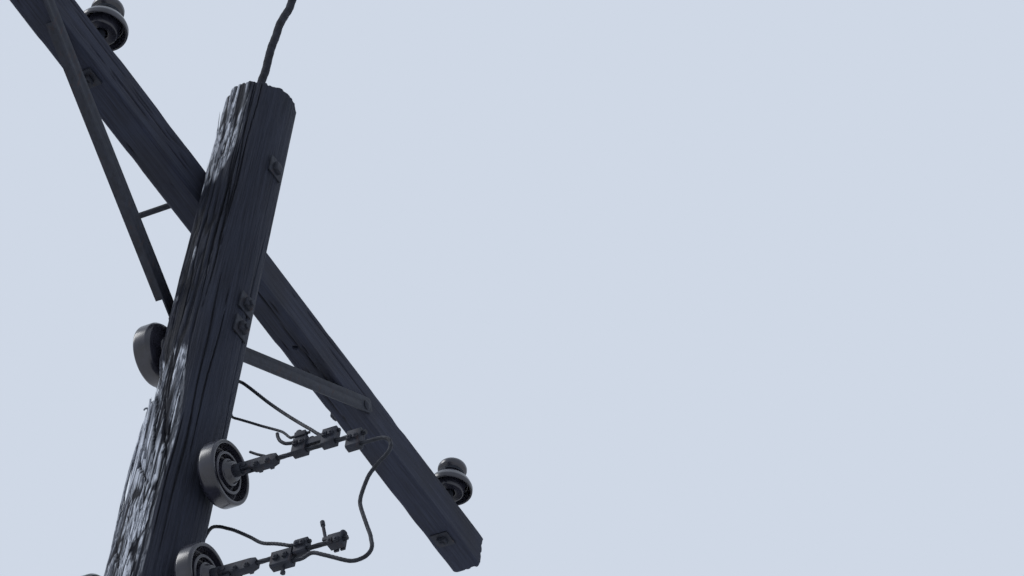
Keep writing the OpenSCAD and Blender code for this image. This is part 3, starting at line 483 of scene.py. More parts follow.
class Form:
    """Points and faces of one piece in millimetres, gathered before they become a mesh."""

    def __init__(self):
        self.points = []
        self.faces = []

    def add(self, points, faces):
        """Adds points, and faces that count them from nought."""
        base = len(self.points)
        self.points.extend(tuple(p) for p in points)
        self.faces.extend([base + i for i in f] for f in faces)

    def skin(self, rings, closed=False):
        """Joins rings of equally many points, and caps the ends or joins the last to the first."""
        rings = np.asarray(rings, float)
        n, k = rings.shape[:2]
        faces = [
            (i * k + j, i * k + (j + 1) % k, (i + 1) % n * k + (j + 1) % k, (i + 1) % n * k + j)
            for i in range(n if closed else n - 1) for j in range(k)
        ]
        if not closed:
            faces += [tuple(range(k))[::-1], tuple((n - 1) * k + j for j in range(k))]
        self.add(rings.reshape(-1, 3), faces)

    def lathe(self, profile, start, axis, sides, closed=False):
        """Turns a profile of radius and distance about an axis from a start point."""
        turn = np.array(Vector(axis).to_track_quat("Z", "Y").to_matrix())
        angle = np.arange(sides) * 2 * math.pi / sides
        rings = []
        for r, along in profile:
            # A point on the axis keeps a tiny ring, which merging the doubled points closes
            r = max(r, 0.01)
            ring = np.array([r * np.cos(angle), r * np.sin(angle), np.full(sides, along)])
            rings.append((turn @ ring).T + np.array(start))
        self.skin(rings, closed)

    def hull(self, points):
        """Adds the convex solid round some points."""
        work = bmesh.new()
        for p in points:
            work.verts.new(p)
        bmesh.ops.convex_hull(work, input=work.verts)
        for v in [v for v in work.verts if not v.link_faces]:
            work.verts.remove(v)
        work.verts.index_update()
        self.add([v.co[:] for v in work.verts], [[v.index for v in f.verts] for f in work.faces])
        work.free()

    def block(self, low, high, chamfer):
        """Adds a box from its lowest to its highest corner, with a chamfer on all its edges."""
        low, high = np.array(low, float), np.array(high, float)
        mid, half = (low + high) / 2, (high - low) / 2
        points = []
        for sx in (-1, 1):
            for sy in (-1, 1):
                for sz in (-1, 1):
                    s = np.array([sx, sy, sz])
                    for k in range(3):
                        inset = np.full(3, chamfer)
                        inset[k] = 0
                        points.append(mid + s * (half - inset))
        self.hull(points)

    def nut(self, start, axis, width, thick):
        """Adds a square nut or bolt head with the corners of its outer face turned off."""
        turn = np.array(Vector(axis).to_track_quat("Z", "Y").to_matrix())
        h = width / 2
        points = [(sx * h, sy * h, a) for sx in (-1, 1) for sy in (-1, 1) for a in (0, 0.72 * thick)]
        for a in np.arange(24) * math.pi / 12:
            # The turned circle is a little wider than the square, and ends at its flats
            r = 1.06 * h if max(abs(math.cos(a)), abs(math.sin(a))) < 0.93 else h
            points.append((r * math.cos(a), r * math.sin(a), thick))
        self.hull([turn @ np.array(p) + np.array(start) for p in points])

    def rod(self, start, axis, length, radius, sides=24):
        """Adds a round bar with chamfered ends."""
        inner = radius - ROD_CHAMFER
        self.lathe(
            [(0, 0), (inner, 0), (radius, ROD_CHAMFER), (radius, length - ROD_CHAMFER), (inner, length),
             (0, length)], start, axis, sides,
        )

    def tube(self, way, radius, sides):
        """Adds a round bar along a way of points; radius is a number or one for each point."""
        way = np.asarray(way, float)
        radius = np.broadcast_to(radius, len(way))
        rings = []
        for p, (u, v), r in zip(way, carried_frames(way), radius):
            a = np.arange(sides) * 2 * math.pi / sides
            rings.append(p + r * (np.outer(np.cos(a), u) + np.outer(np.sin(a), v)))
        self.skin(rings)

    def mesh(self, name, crease=40):
        """Turns the form into a mesh in metres, closed at its poles, its faces outwards."""
        made = bpy.data.meshes.new(name)
        made.from_pydata((np.array(self.points) / 1000).tolist(), [], self.faces)
        tidy(made, crease)
        return made


def tidy(mesh, crease, merge=DOUBLED):
    """Merges doubled points, turns faces outwards and marks edges past an angle as sharp."""
    work = bmesh.new()
    work.from_mesh(mesh)
    bmesh.ops.remove_doubles(work, verts=work.verts, dist=merge)
    bmesh.ops.dissolve_degenerate(work, edges=work.edges, dist=1e-6)
    bmesh.ops.recalc_face_normals(work, faces=work.faces)
    work.to_mesh(mesh)
    work.free()
    mesh.shade_smooth()
    mesh.set_sharp_from_angle(angle=math.radians(crease))


def carried_frames(way):
    """Two directions square to a way at each of its points, carried along it without a twist."""
    ahead = np.gradient(way, axis=0)
    ahead /= np.linalg.norm(ahead, axis=1)[:, None]
    side = np.cross(ahead[0], [0.31, 0.2, 0.93])
    frames = []
    for t in ahead:
        side = side - t * side.dot(t)
        side /= np.linalg.norm(side)
        frames.append((side.copy(), np.cross(t, side)))
    return frames


def bend(points, steps):
    """A curve through all the points of a list, with some steps from each point to the next."""
    p = [np.array(q, float) for q in points]
    made = []
    for i in range(len(p) - 1):
        a, b, c, d = p[max(i - 1, 0)], p[i], p[i + 1], p[min(i + 2, len(p) - 1)]
        for k in range(steps):
            t = k / steps
            made.append(b + (c - a) / 2 * t + (2 * a - 5 * b + 4 * c - d) / 2 * t**2
                        + (3 * b - 3 * c + d - a) / 2 * t**3)
    return np.array(made + [p[-1]])


def rounded(profile, radius, steps=4):
    """A profile with its corners rounded."""
    p = [np.array(q, float) for q in profile]
    made = []
    for i, q in enumerate(p):
        before, after = p[i - 1] - q, p[(i + 1) % len(p)] - q
        cut = min(radius, 0.45 * np.linalg.norm(before), 0.45 * np.linalg.norm(after))
        a = q + before / np.linalg.norm(before) * cut
        b = q + after / np.linalg.norm(after) * cut
        for k in range(steps + 1):
            t = k / steps
            made.append(tuple((1 - t) ** 2 * a + 2 * t * (1 - t) * q + t**2 * b))
    return made


def piece(name, mesh, finish, nodes):
    """Links a mesh as a piece of the pole that rides on the frame and stands for its CAD nodes, if any."""
    made = bpy.data.objects.new(name, mesh)
    bpy.context.scene.collection.objects.link(made)
    if finish is not None:
        mesh.materials.clear()
        mesh.materials.append(bpy.data.materials[finish])
    if nodes:
        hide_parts(*nodes)
    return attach(made, "root")


def softened(node, name, width):
    """Puts a steel copy of a CAD node in its place, its edges rounded as forging and rolling leave them."""
    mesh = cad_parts[node].data.copy()
    work = bmesh.new()
    work.from_mesh(mesh)
    bmesh.ops.remove_doubles(work, verts=work.verts, dist=DOUBLED)
    bmesh.ops.dissolve_limit(work, angle_limit=math.radians(1), verts=work.verts, edges=work.edges)
    work.to_mesh(mesh)
    work.free()
    mesh.shade_smooth()
    holder = bpy.data.objects.new("holder", mesh)
    bpy.context.scene.collection.objects.link(holder)
    bevel = holder.modifiers.new("worn edges", "BEVEL")
    bevel.width, bevel.segments = width, 2
    bevel.limit_method, bevel.angle_limit = "ANGLE", math.radians(35)
    return piece(name, evaluated_mesh(holder, name), STEEL, [node])


def evaluated_mesh(holder, name):
    """Turns an object with its modifiers into a plain mesh and removes the object."""
    bpy.context.view_layer.update()
    graph = bpy.context.evaluated_depsgraph_get()
    made = bpy.data.meshes.new_from_object(holder.evaluated_get(graph), depsgraph=graph)
    made.name = name
    bpy.data.objects.remove(holder)
    if not made.polygons:
        raise RuntimeError(f"{name} has no faces")
    return made


# Geometry Nodes


def new_tree(name, sizes):
    """A Geometry Nodes tree with a geometry input and output, a material and named sizes."""
    tree = bpy.data.node_groups.new(name, "GeometryNodeTree")
    tree.interface.new_socket("Geometry", in_out="INPUT", socket_type="NodeSocketGeometry")
    for label, kind, value in sizes:
        tree.interface.new_socket(label, in_out="INPUT", socket_type=kind).default_value = value
    tree.interface.new_socket("Material", in_out="INPUT", socket_type="NodeSocketMaterial")
    tree.interface.new_socket("Geometry", in_out="OUTPUT", socket_type="NodeSocketGeometry")
    return tree, tree.nodes.new("NodeGroupInput")


def finish_tree(tree, inputs, shape):
    """Ends a tree with real geometry that carries its material."""
    real = add(tree, "GeometryNodeRealizeInstances", {0: shape}).outputs[0]
    shown = add(tree, "GeometryNodeSetMaterial", {0: real, "Material": inputs.outputs["Material"]}).outputs[0]
    tree.links.new(shown, tree.nodes.new("NodeGroupOutput").inputs[0])
    return tree


def grown(name, data, tree, **values):
    """Runs a tree on a mesh or curve with its inputs set, and returns the plain mesh."""
    holder = bpy.data.objects.new(name, data)
    bpy.context.scene.collection.objects.link(holder)
    modifier = holder.modifiers.new(tree.name, "NODES")
    modifier.node_group = tree
    wanted = {key.replace("_", " "): value for key, value in values.items()}
    for item in tree.interface.items_tree:
        if item.in_out == "INPUT" and item.name in wanted:
            modifier[item.identifier] = wanted[item.name]
    return evaluated_mesh(holder, name)


@cache
def stranded_wire_tree():
    """Wires laid round a middle wire along a curve, as one skin with a valley between two wires."""
    tree, inputs = new_tree("Stranded wire", [
        ("Diameter", "NodeSocketFloat", 0.012), ("Lay length", "NodeSocketFloat", 0.15),
        ("Wires", "NodeSocketInt", 6), ("Step", "NodeSocketFloat", 0.006),
    ])
    size = inputs.outputs
    length = add(tree, "GeometryNodeSplineParameter").outputs["Length"]
    whole = add(tree, "ShaderNodeMath", {0: length, 1: size["Lay length"]}, operation="DIVIDE").outputs[0]
    tilt = add(tree, "ShaderNodeMath", {0: whole, 1: 2 * math.pi}, operation="MULTIPLY").outputs[0]
    way = add(tree, "GeometryNodeResampleCurve", {
        "Curve": size["Geometry"], "Length": size["Step"]}, mode="LENGTH").outputs[0]
    way = add(tree, "GeometryNodeSetCurveTilt", {"Curve": way, "Tilt": tilt}).outputs[0]
    corners = add(tree, "ShaderNodeMath", {0: size["Wires"], 1: 6}, operation="MULTIPLY").outputs[0]
    radius = add(tree, "ShaderNodeMath", {0: size["Diameter"], 1: 0.5}, operation="MULTIPLY").outputs[0]
    circle = add(tree, "GeometryNodeCurvePrimitiveCircle", {
        "Resolution": corners, "Radius": radius}).outputs[0]
    # The section's circle is drawn in at each valley between two wires, to 0.84 of its radius
    way_round = add(tree, "GeometryNodeSplineParameter").outputs["Factor"]
    half_turns = add(tree, "ShaderNodeMath", {0: size["Wires"], 1: math.pi}, operation="MULTIPLY").outputs[0]
    angle = add(tree, "ShaderNodeMath", {0: way_round, 1: half_turns}, operation="MULTIPLY").outputs[0]
    wave = add(tree, "ShaderNodeMath", {0: angle}, operation="COSINE").outputs[0]
    crest = add(tree, "ShaderNodeMath", {0: wave}, operation="ABSOLUTE").outputs[0]
    scale = add(tree, "ShaderNodeMath", {0: crest, 1: 0.16, 2: 0.84}, operation="MULTIPLY_ADD").outputs[0]
    place = add(tree, "GeometryNodeInputPosition").outputs[0]
    moved = add(tree, "ShaderNodeVectorMath", {0: place, "Scale": scale}, operation="SCALE").outputs[0]
    section = add(tree, "GeometryNodeSetPosition", {"Geometry": circle, "Position": moved}).outputs[0]
    # How deep in a valley between two wires a point lies, for the painted shade there
    valley = add(tree, "ShaderNodeMath", {0: 1.0, 1: crest}, operation="SUBTRACT").outputs[0]
    section = add(tree, "GeometryNodeStoreNamedAttribute", {
        "Geometry": section, "Name": "valley", "Value": valley}, data_type="FLOAT", domain="POINT").outputs[0]
    skin = add(tree, "GeometryNodeCurveToMesh", {
        "Curve": way, "Profile Curve": section, "Fill Caps": True}).outputs[0]
    return finish_tree(tree, inputs, skin)


@cache
def thread_tree():
    """A thread's ridge as a helix at each point, turned as the point's attribute says."""
    tree, inputs = new_tree("Bolt thread", [
        ("Radius", "NodeSocketFloat", 0.008), ("Length", "NodeSocketFloat", 0.02),
        ("Pitch", "NodeSocketFloat", 0.003), ("Height", "NodeSocketFloat", 0.0009),
    ])
    size = inputs.outputs
    turns = add(tree, "ShaderNodeMath", {0: size["Length"], 1: size["Pitch"]}, operation="DIVIDE").outputs[0]
    helix = add(tree, "GeometryNodeCurveSpiral", {
        "Resolution": 14, "Rotations": turns, "Start Radius": size["Radius"], "End Radius": size["Radius"],
        "Height": size["Length"]}).outputs[0]
    ridge = add(tree, "GeometryNodeCurvePrimitiveCircle", {
        "Resolution": 4, "Radius": size["Height"]}).outputs[0]
    thread = add(tree, "GeometryNodeCurveToMesh", {
        "Curve": helix, "Profile Curve": ridge, "Fill Caps": True}).outputs[0]
    turn = add(tree, "GeometryNodeInputNamedAttribute", {"Name": "turn"}, data_type="FLOAT_VECTOR").outputs[0]
    turned = add(tree, "FunctionNodeEulerToRotation", {0: turn}).outputs[0]
    placed = add(tree, "GeometryNodeInstanceOnPoints", {
        "Points": size["Geometry"], "Instance": thread, "Rotation": turned}).outputs[0]
    return finish_tree(tree, inputs, placed)


def splinter_tree():
    """Thin slivers that have lifted from a timber skin, thickest where its bleach is strongest."""
    tree, inputs = new_tree("Splinters", [
        ("Density", "NodeSocketFloat", 400.0), ("Length", "NodeSocketFloat", 0.07),
        ("Width", "NodeSocketFloat", 0.003), ("Lowest", "NodeSocketFloat", 0.3),
        ("Highest", "NodeSocketFloat", 7.36), ("Seed", "NodeSocketInt", 7),
    ])
    size = inputs.outputs
    bleach = add(tree, "GeometryNodeInputNamedAttribute", {"Name": "bleach"}, data_type="FLOAT").outputs[0]
    often = add(tree, "ShaderNodeMapRange", {0: bleach, 1: 0.35, 2: 0.9}).outputs[0]
    # None on the foot, and none so high that it would stand above the top
    place = add(tree, "GeometryNodeInputPosition").outputs[0]
    level = add(tree, "ShaderNodeSeparateXYZ", {0: place}).outputs[2]
    above = add(tree, "ShaderNodeMath", {0: level, 1: size["Lowest"]}, operation="GREATER_THAN").outputs[0]
    below = add(tree, "ShaderNodeMath", {0: level, 1: size["Highest"]}, operation="LESS_THAN").outputs[0]
    between = add(tree, "ShaderNodeMath", {0: above, 1: below}, operation="MULTIPLY").outputs[0]
    often = add(tree, "ShaderNodeMath", {0: often, 1: between}, operation="MULTIPLY").outputs[0]
    spread = add(tree, "ShaderNodeMath", {0: often, 1: size["Density"]}, operation="MULTIPLY").outputs[0]
    points = add(tree, "GeometryNodeDistributePointsOnFaces", {
        "Mesh": size["Geometry"], "Density": spread, "Seed": size["Seed"]}, distribute_method="RANDOM")
    sliver = add(tree, "GeometryNodeMeshCone", {
        "Vertices": 5, "Side Segments": 3, "Radius Top": 0.0002, "Radius Bottom": size["Width"],
        "Depth": size["Length"]}).outputs[0]
    thin = add(tree, "GeometryNodeTransform", {"Geometry": sliver, "Scale": (0.45, 1.0, 1.0)}).outputs[0]
    # The sliver's length lies along the pole, and its thin side points out of the timber
    out = add(tree, "FunctionNodeAlignRotationToVector", {
        "Vector": points.outputs["Normal"]}, axis="X", pivot_axis="Z").outputs[0]
    lean = add(tree, "FunctionNodeRandomValue", {
        0: (-0.05, 0.01, -0.2), 1: (0.05, 0.11, 0.2), "Seed": 3}, data_type="FLOAT_VECTOR").outputs[0]
    leaning = add(tree, "FunctionNodeEulerToRotation", {0: lean}).outputs[0]
    turned = add(tree, "FunctionNodeRotateRotation", {
        "Rotation": out, "Rotate By": leaning}, rotation_space="LOCAL").outputs[0]
    scale = add(tree, "FunctionNodeRandomValue", {
        0: (0.5, 0.5, 0.3), 1: (1.2, 1.4, 1.8), "Seed": 5}, data_type="FLOAT_VECTOR").outputs[0]
    placed = add(tree, "GeometryNodeInstanceOnPoints", {
        "Points": points.outputs["Points"], "Instance": thin, "Rotation": turned, "Scale": scale}).outputs[0]
    real = add(tree, "GeometryNodeRealizeInstances", {0: placed}).outputs[0]
    real = add(tree, "GeometryNodeStoreNamedAttribute", {
        "Geometry": real, "Name": "bleach", "Value": SPLINTER_BLEACH,
    }, data_type="FLOAT", domain="POINT").outputs[0]
    return finish_tree(tree, inputs, real)


def tie_wire_tree():
    """A soft wire wound round an insulator's neck at each point."""
    tree, inputs = new_tree("Tie wire", [
        ("Radius", "NodeSocketFloat", 0.035), ("Turns", "NodeSocketFloat", 2.6),
        ("Wire", "NodeSocketFloat", 0.004),
    ])
    size = inputs.outputs
    rise = add(tree, "ShaderNodeMath", {0: size["Turns"], 1: size["Wire"]}, operation="MULTIPLY").outputs[0]
    wound = add(tree, "GeometryNodeCurveSpiral", {
        "Resolution": 28, "Rotations": size["Turns"], "Start Radius": size["Radius"],
        "End Radius": size["Radius"], "Height": rise}).outputs[0]
    half = add(tree, "ShaderNodeMath", {0: size["Wire"], 1: 0.5}, operation="MULTIPLY").outputs[0]
    section = add(tree, "GeometryNodeCurvePrimitiveCircle", {"Resolution": 8, "Radius": half}).outputs[0]
    wire = add(tree, "GeometryNodeCurveToMesh", {
        "Curve": wound, "Profile Curve": section, "Fill Caps": True}).outputs[0]
    placed = add(tree, "GeometryNodeInstanceOnPoints", {
        "Points": size["Geometry"], "Instance": wire}).outputs[0]
    return finish_tree(tree, inputs, placed)


def point_cloud(name, points, turns=None):
    """A mesh of single points in millimetres, each with its turn."""
    mesh = bpy.data.meshes.new(name)
    mesh.from_pydata((np.array(points, float) / 1000).tolist(), [], [])
    if turns is not None:
        spin = mesh.attributes.new("turn", "FLOAT_VECTOR", "POINT")
        spin.data.foreach_set("vector", np.array(turns, float).ravel())
    return mesh


def wire_curve(name, way):
    """A poly curve through points in millimetres."""
    data = bpy.data.curves.new(name, "CURVE")
    data.dimensions = "3D"
    spline = data.splines.new("POLY")
    spline.points.add(len(way) - 1)
    spline.points.foreach_set("co", np.column_stack([np.array(way) / 1000, np.ones(len(way))]).ravel())
    return data


def strands(name, way, diameter, settings, step, wires=None, lay=None):
    """The mesh of a stranded wire along a way of points in millimetres; step and lay are in metres."""
    return grown(
        name, wire_curve(name, way), stranded_wire_tree(), Diameter=diameter / 1000,
        Lay_length=lay or settings.lay_length, Wires=wires or settings.outer_wires, Step=step,
        Material=bpy.data.materials[ALUMINIUM],
    )


def threads(name, points, turns, radius, length, pitch):
    """The mesh of drawn threads that start at some points in millimetres, each with its own turn."""
    return grown(
        name, point_cloud(name, points, turns), thread_tree(), Radius=radius / 1000, Length=length / 1000,
        Pitch=pitch, Height=THREAD_H / 1000, Material=bpy.data.materials[STEEL],
    )


def joined(name, meshes):
    """One mesh of several, with all their attributes."""
    work = bmesh.new()
    for mesh in meshes:
        work.from_mesh(mesh)
    made = bpy.data.meshes.new(name)
    work.to_mesh(made)
    work.free()
    made.shade_smooth()
    made.set_sharp_from_angle(angle=math.radians(40))
    return made


# Ways of the jumpers and the cut tail, with the same points as in the part's source, and of the rod


def lug_way(z, drop=0):
    """End of a jumper in the barrel of a left lug."""
    return [(-34 - x, -face(z) - 89.3, z - drop) for x in (14, 40, 58)]


def port_way(z, y, length, port, x=0):
    """End of a jumper through the port of a right connector."""
    return [(x, face(z) + y + d, z + port) for d in (-5, length + 6)]


UPPER_WAY = lug_way(LEFT_UPPER) + [
    (-134, -164, 6591), (-150, -95, 6585), (-142, -25, 6565), (-118, 30, 6536), (-100, 60, 6507),
    (-86, 102, 6459), (-62, 188, 6357), (-40, 263, 6272), (-20, 330, 6199), (-5, 381, 6145),
    (-2, 398, 6127), (0, 411, 6115),
] + port_way(RIGHT_UPPER, UPPER_Y, 36, 34)
TAP_WAY = lug_way(LEFT_UPPER, 24) + [
    (-132, -166, 6560), (-150, -95, 6535), (-146, -25, 6490), (-122, 26, 6434), (-97, 58, 6384),
    (-80, 97, 6347), (-62, 145, 6304), (-45, 198, 6258), (-18, 277, 6190), (-4, 306, 6158),
    (3, 320, 6140), (7, 332, 6127),
] + port_way(RIGHT_UPPER, FIRST_Y, 36, 46, 9)
LOWER_WAY = lug_way(LOWER) + [
    (-134, -164, 5753), (-158, -120, 5775), (-162, -66, 5840), (-154, -24, 5930), (-140, 4, 5980),
    (-122, 32, 6014), (-108, 58, 6026), (-99, 88, 6013), (-93, 118, 5993), (-85, 150, 5969),
    (-55, 221, 5902), (-30, 280, 5844), (-10, 334, 5808), (-3, 366, 5789), (-1, 381, 5780),
    (0, 390, 5777),
] + port_way(LOWER, SMALL_Y, 32, 22)
JOINING_WAY = [(0, face(RIGHT_UPPER) + UNDER_END + y, RIGHT_UPPER - 34) for y in (-18, 6)] + [
    (x, face(RIGHT_UPPER) + y, RIGHT_UPPER + z) for x, y, z in (
        (0, 459, -34), (0, 481, -35), (0, 498, -41), (0, 510, -53), (0, 515, -69), (0, 513, -85),
        (0, 504, -99), (0, 491, -112), (0, 479, -128), (0, 468, -146), (0, 462, -167), (0, 457, -193),
        (0, 455, -219), (0, 461, -245), (0, 485, -305), (0, 498, -336), (0, 503, -353), (0, 508, -372),
        (1, 507, -388), (2, 498, -401), (4, 483, -408), (5, 466, -408), (6, 445, -400), (9, 388, -369),
        (8, 353, -351))
] + [(0, face(LOWER) + DEEP_END + y, LOWER - 26) for y in (26, 6, -20)]
TAIL_WAY = [(3, face(RIGHT_UPPER) + FIRST_Y + y, RIGHT_UPPER + 34 + z) for y, z in (
    (16, 0), (-6, 0), (-16, 1), (-28, 5), (-39, 13), (-49, 25), (-55, 38), (-58, 48))]
ROD_WAY = [
    (20, 0, -99.7), (20, 0, 20), (21, 0, 85), (15, 0, 140), (14.5, 0, 200), (12.5, 0, 250), (5.5, 0, 305),
    (1, 0, 362), (-12, 0, 420), (-24, 0, 466), (-28.5, 0, 512), (-37, 0, 560),
]


# Timber skins


def rise(value, start, length):
    """How far a value has come along a length past its start, from 0 to 1."""
    return np.clip((value - start) / length, 0, 1)


def hump(value, middle, reach):
    """A smooth hump: 1 at its middle and about a third one reach away."""
    return np.exp(-(((value - middle) / reach) ** 2))


def apart(side, angle):
    """Turn from an angle to a side of the pole, in degrees from -180 to 180."""
    return (side - angle + 180) % 360 - 180


def grain(turn, height, around, tall, seed):
    """Smooth random values from -1 to 1 on a skin: cells round it, and their height in millimetres."""
    table = np.random.default_rng(seed).uniform(-1, 1, (int(GRAIN_H / tall) + 3, around))
    u, v = turn / (2 * math.pi) % 1 * around, height / tall
    i, j = np.floor(u).astype(int) % around, np.floor(v).astype(int)
    fu, fv = u - np.floor(u), v - j
    fu, fv = fu * fu * (3 - 2 * fu), fv * fv * (3 - 2 * fv)
    k = (i + 1) % around
    low = table[j, i] * (1 - fu) + table[j, k] * fu
    high = table[j + 1, i] * (1 - fu) + table[j + 1, k] * fu
    return low * (1 - fv) + high * fv


def gouge_cut(side, height, top, foot, width, depth):
    """Depth of a wide crack that runs aslant; top and foot are its ends as a turn and a height."""
    t = (height - foot[1]) / (top[1] - foot[1])
    middle = foot[0] + (top[0] - foot[0]) * t + 1.2 * np.sin(height / 23) + 0.8 * np.sin(height / 9 + 1)
    arc = np.radians(apart(side, middle)) * pole_r(height)
    taper = np.sqrt(np.clip(4 * t * (1 - t), 0, 1))
    return depth * taper * np.clip(1.5 * (1 - np.abs(arc) / (width / 2 * taper + 0.01)), 0, 1)


def check_cut(arc, height, low, length, width, depth, seed):
    """Depth of a wandering drying check; arc is the distance across it in millimetres."""
    t = (height - low) / length
    taper = np.sqrt(np.clip(4 * t * (1 - t), 0, 1))
    wander = 3.2 * np.sin(height / 170 + seed) + 1.7 * np.sin(height / 57 + 2 * seed)
    half = np.maximum(width / 2 * taper * (0.85 + 0.3 * np.sin(height / 83 + 3 * seed)), 0.01)
    return depth * taper * np.clip(1.15 * (1 - np.abs(arc - wander) / half), 0, 1)


def weather_side(turn, side, height):
    """How weathered each point of the pole is, and how bleached with the arm's shadow painted in: past 1
    where it is palest.
    """
    # Its edge lies 78 degrees from its middle, ragged, and nearer to it at the arm and towards the top
    ragged = 9 - 6 * rise(height, 6900, 200)
    reach = 78 - rise(height, 6400, 1100) * 10 + ragged * grain(turn, height, 24, 260, 11)
    reach -= 17 * hump(height, NARROWEST, 90)
    weather = np.clip((reach - np.abs(apart(side, WEATHER_MIDDLE))) / 16 + 0.5, 0, 1)
    weather = weather * rise(height, 40, 300)
    bleach = weather * np.clip(0.86 + 0.3 * grain(turn, height, 60, 240, 12), 0, 1)
    # The palest plates: most of them between the two right bells
    plate = np.clip(grain(turn, height, 30, 190, 15) * 2.2 - 0.1, 0, 1)
    bleach = bleach + 0.75 * weather * plate * (0.35 + 0.65 * hump(height, PALEST, 200))
    # Below the arm its shadow is painted: the bleach is cut back, so the timber is dark but for some patches
    arm_shadow = rise(375 - np.abs(height - ARM_SHADOW_HEIGHT), 0, 110)
    bleach = bleach * (1 - arm_shadow * np.clip(1.3 + 0.9 * grain(turn, height, 36, 75, 13), 0, 1))
    return weather, bleach


def pole_skin(settings):
    """Rings of points of the round timber in millimetres, and the bleach with the arm's painted shadow and
    the painted crack shade of every point.
    """
    around = 312
    # Rows lie closer from the lowest fitting up, and two pairs of them mark the edges of the flat seat
    heights = np.concatenate([
        np.linspace(0, 5150, 84, endpoint=False), np.linspace(5150, 7099, 162, endpoint=False),
        [7099, 7099.6], np.linspace(7108, 7212, 10), [7220.4, 7221], np.linspace(7229, 7492, 38),
    ])
    turn, height = np.meshgrid(np.arange(around) * 2 * math.pi / around, heights)
    side = np.degrees((turn + math.pi) % (2 * math.pi) - math.pi)
    base = pole_r(height)
    weather, bleach = weather_side(turn, side, height)
    radius = base + 1.6 * np.sin(2 * turn + 1.3 + height / 2400) + 1.0 * np.sin(3 * turn - height / 1500)
    radius += 0.5 * grain(turn, height, 144, 160, 1) + 0.7 * grain(turn, height, 48, 420, 2)

    # Raised fibres on the weather side: plates of wood with long cracks between them, shade painted dark in
    # them
    lift = settings.fibre_height * 1000
    broad, narrow = grain(turn, height, 30, 480, 3), grain(turn, height, 66, 190, 4)
    short = grain(turn, height, 104, 64, 6)
    here = grain(turn, height, 40, 130, 8) > 0.05
    crack = np.maximum(hump(broad, 0, 0.17), 0.9 * hump(narrow, 0, 0.22))
    crack = np.maximum(crack, 0.85 * hump(short, 0, 0.24) * here)
    radius += weather * lift * (0.9 * np.abs(broad) + 0.6 * np.abs(narrow) + 0.5 * short - 1.8 * crack)
    radius -= (1 - weather) * 0.9 * hump(broad, 0, 0.1)
    split = weather * rise(crack, 0.3, 0.4)

    # The weather side is worn most between the right bells, and above the long sliver its outer
    # layer has broken away to a depth of 13 mm
    radius -= weather * (0.5 + 3.5 * hump(height, MOST_WORN, 240))
    level = height + 14 * grain(turn, height, 90, 900, 16)
    gone = rise(level, BROKEN_LOW, 14) * rise(BROKEN_HIGH - level, 0, 60)
    gone *= rise(38 - np.abs(side + 50 + 5 * narrow), 0, 22)
    radius -= 13 * gone
    for gouge in POLE_GOUGES:
        cut = gouge_cut(side, height, *gouge)
        radius -= cut
        split = np.maximum(split, np.clip(cut / 4, 0, 1))

    # The long checks, and 150 short ones, most of them on the weather side
    rng = np.random.default_rng(5)
    cuts = [(*c, settings.check_depth * 1000) for c in POLE_CHECKS]
    for _ in range(150):
        angle = rng.uniform(-130, 30) if rng.random() < 0.72 else rng.uniform(-180, 180)
        cuts.append((angle, rng.uniform(100, 7300), rng.uniform(250, 1100), rng.uniform(4, 8),
                     rng.uniform(4, 9)))
    for k, (angle, low, length, width, depth) in enumerate(cuts):
        arc = np.radians(apart(side, angle)) * base
        cut = check_cut(arc, height, low, length, width, depth, 1.7 * k)
        radius -= cut
        # Painted shade inside each check, darker the deeper it is
        split = np.maximum(split, np.clip(cut / 3, 0, 1))

    # The top edge is broken: fibres have gone from it to different depths, and others stand up
    t, bare = turn[0], weather[-1]
    chips = 5 * np.clip(grain(t, 100, 40, 300, 22), 0, 1) * (1 - 0.7 * bare)
    chips += 8 * np.clip(grain(t, 500, 104, 300, 24), -0.5, 1) * (0.6 + 0.2 * bare)
    chips -= 3 + 3 * bare
    height = height - chips * rise(height, TOP_BREAK, 92) ** 2
    radius = radius - 0.25 * np.maximum(chips, 0) * rise(height, TOP_BREAK + 40, 52)
    x, y = radius * np.cos(turn), radius * np.sin(turn)
    seat = (height > ARM_BOTTOM - GAIN_SPARE) & (height < ARM_TOP + GAIN_SPARE)
    y = np.where(seat, np.maximum(y, -GAIN_Y + 0.1), y)
    rings, fade, cleft = list(np.stack([x, y, height], -1)), list(bleach), list(split)

    # Worn top: the bevel is chipped, and checks 6 degrees wide run in from the edge
    top_r = radius[-1] - 6 + 2 * grain(t, 4000, 36, 300, 21)
    rings.append(np.column_stack([top_r * np.cos(t), top_r * np.sin(t), POLE_H - 0.8 - chips]))
    for share in (0.93, 0.84, 0.74, 0.63, 0.52, 0.4, 0.28, 0.16, 0.06, 0.0001):
        r = top_r * share
        gap = sum(np.clip(1 - np.abs(apart(np.degrees(t), a)) / 3.2, 0, 1) for a in TOP_CHECKS) * share * 9
        ripple = 0.5 * math.sin(share * 40) + 0.6 * grain(t, share * 3000, 30, 200, 23)
        z = POLE_H - 1.2 - gap + ripple * share - chips * share**4
        rings.append(np.column_stack([r * np.cos(t), r * np.sin(t), z]))
        cleft.append(np.clip(gap / 5, 0, 1))
    cleft.append(np.zeros(around))
    fade += [np.full(around, TOP_BLEACH)] * (len(rings) - len(fade))
    return rings, fade, cleft


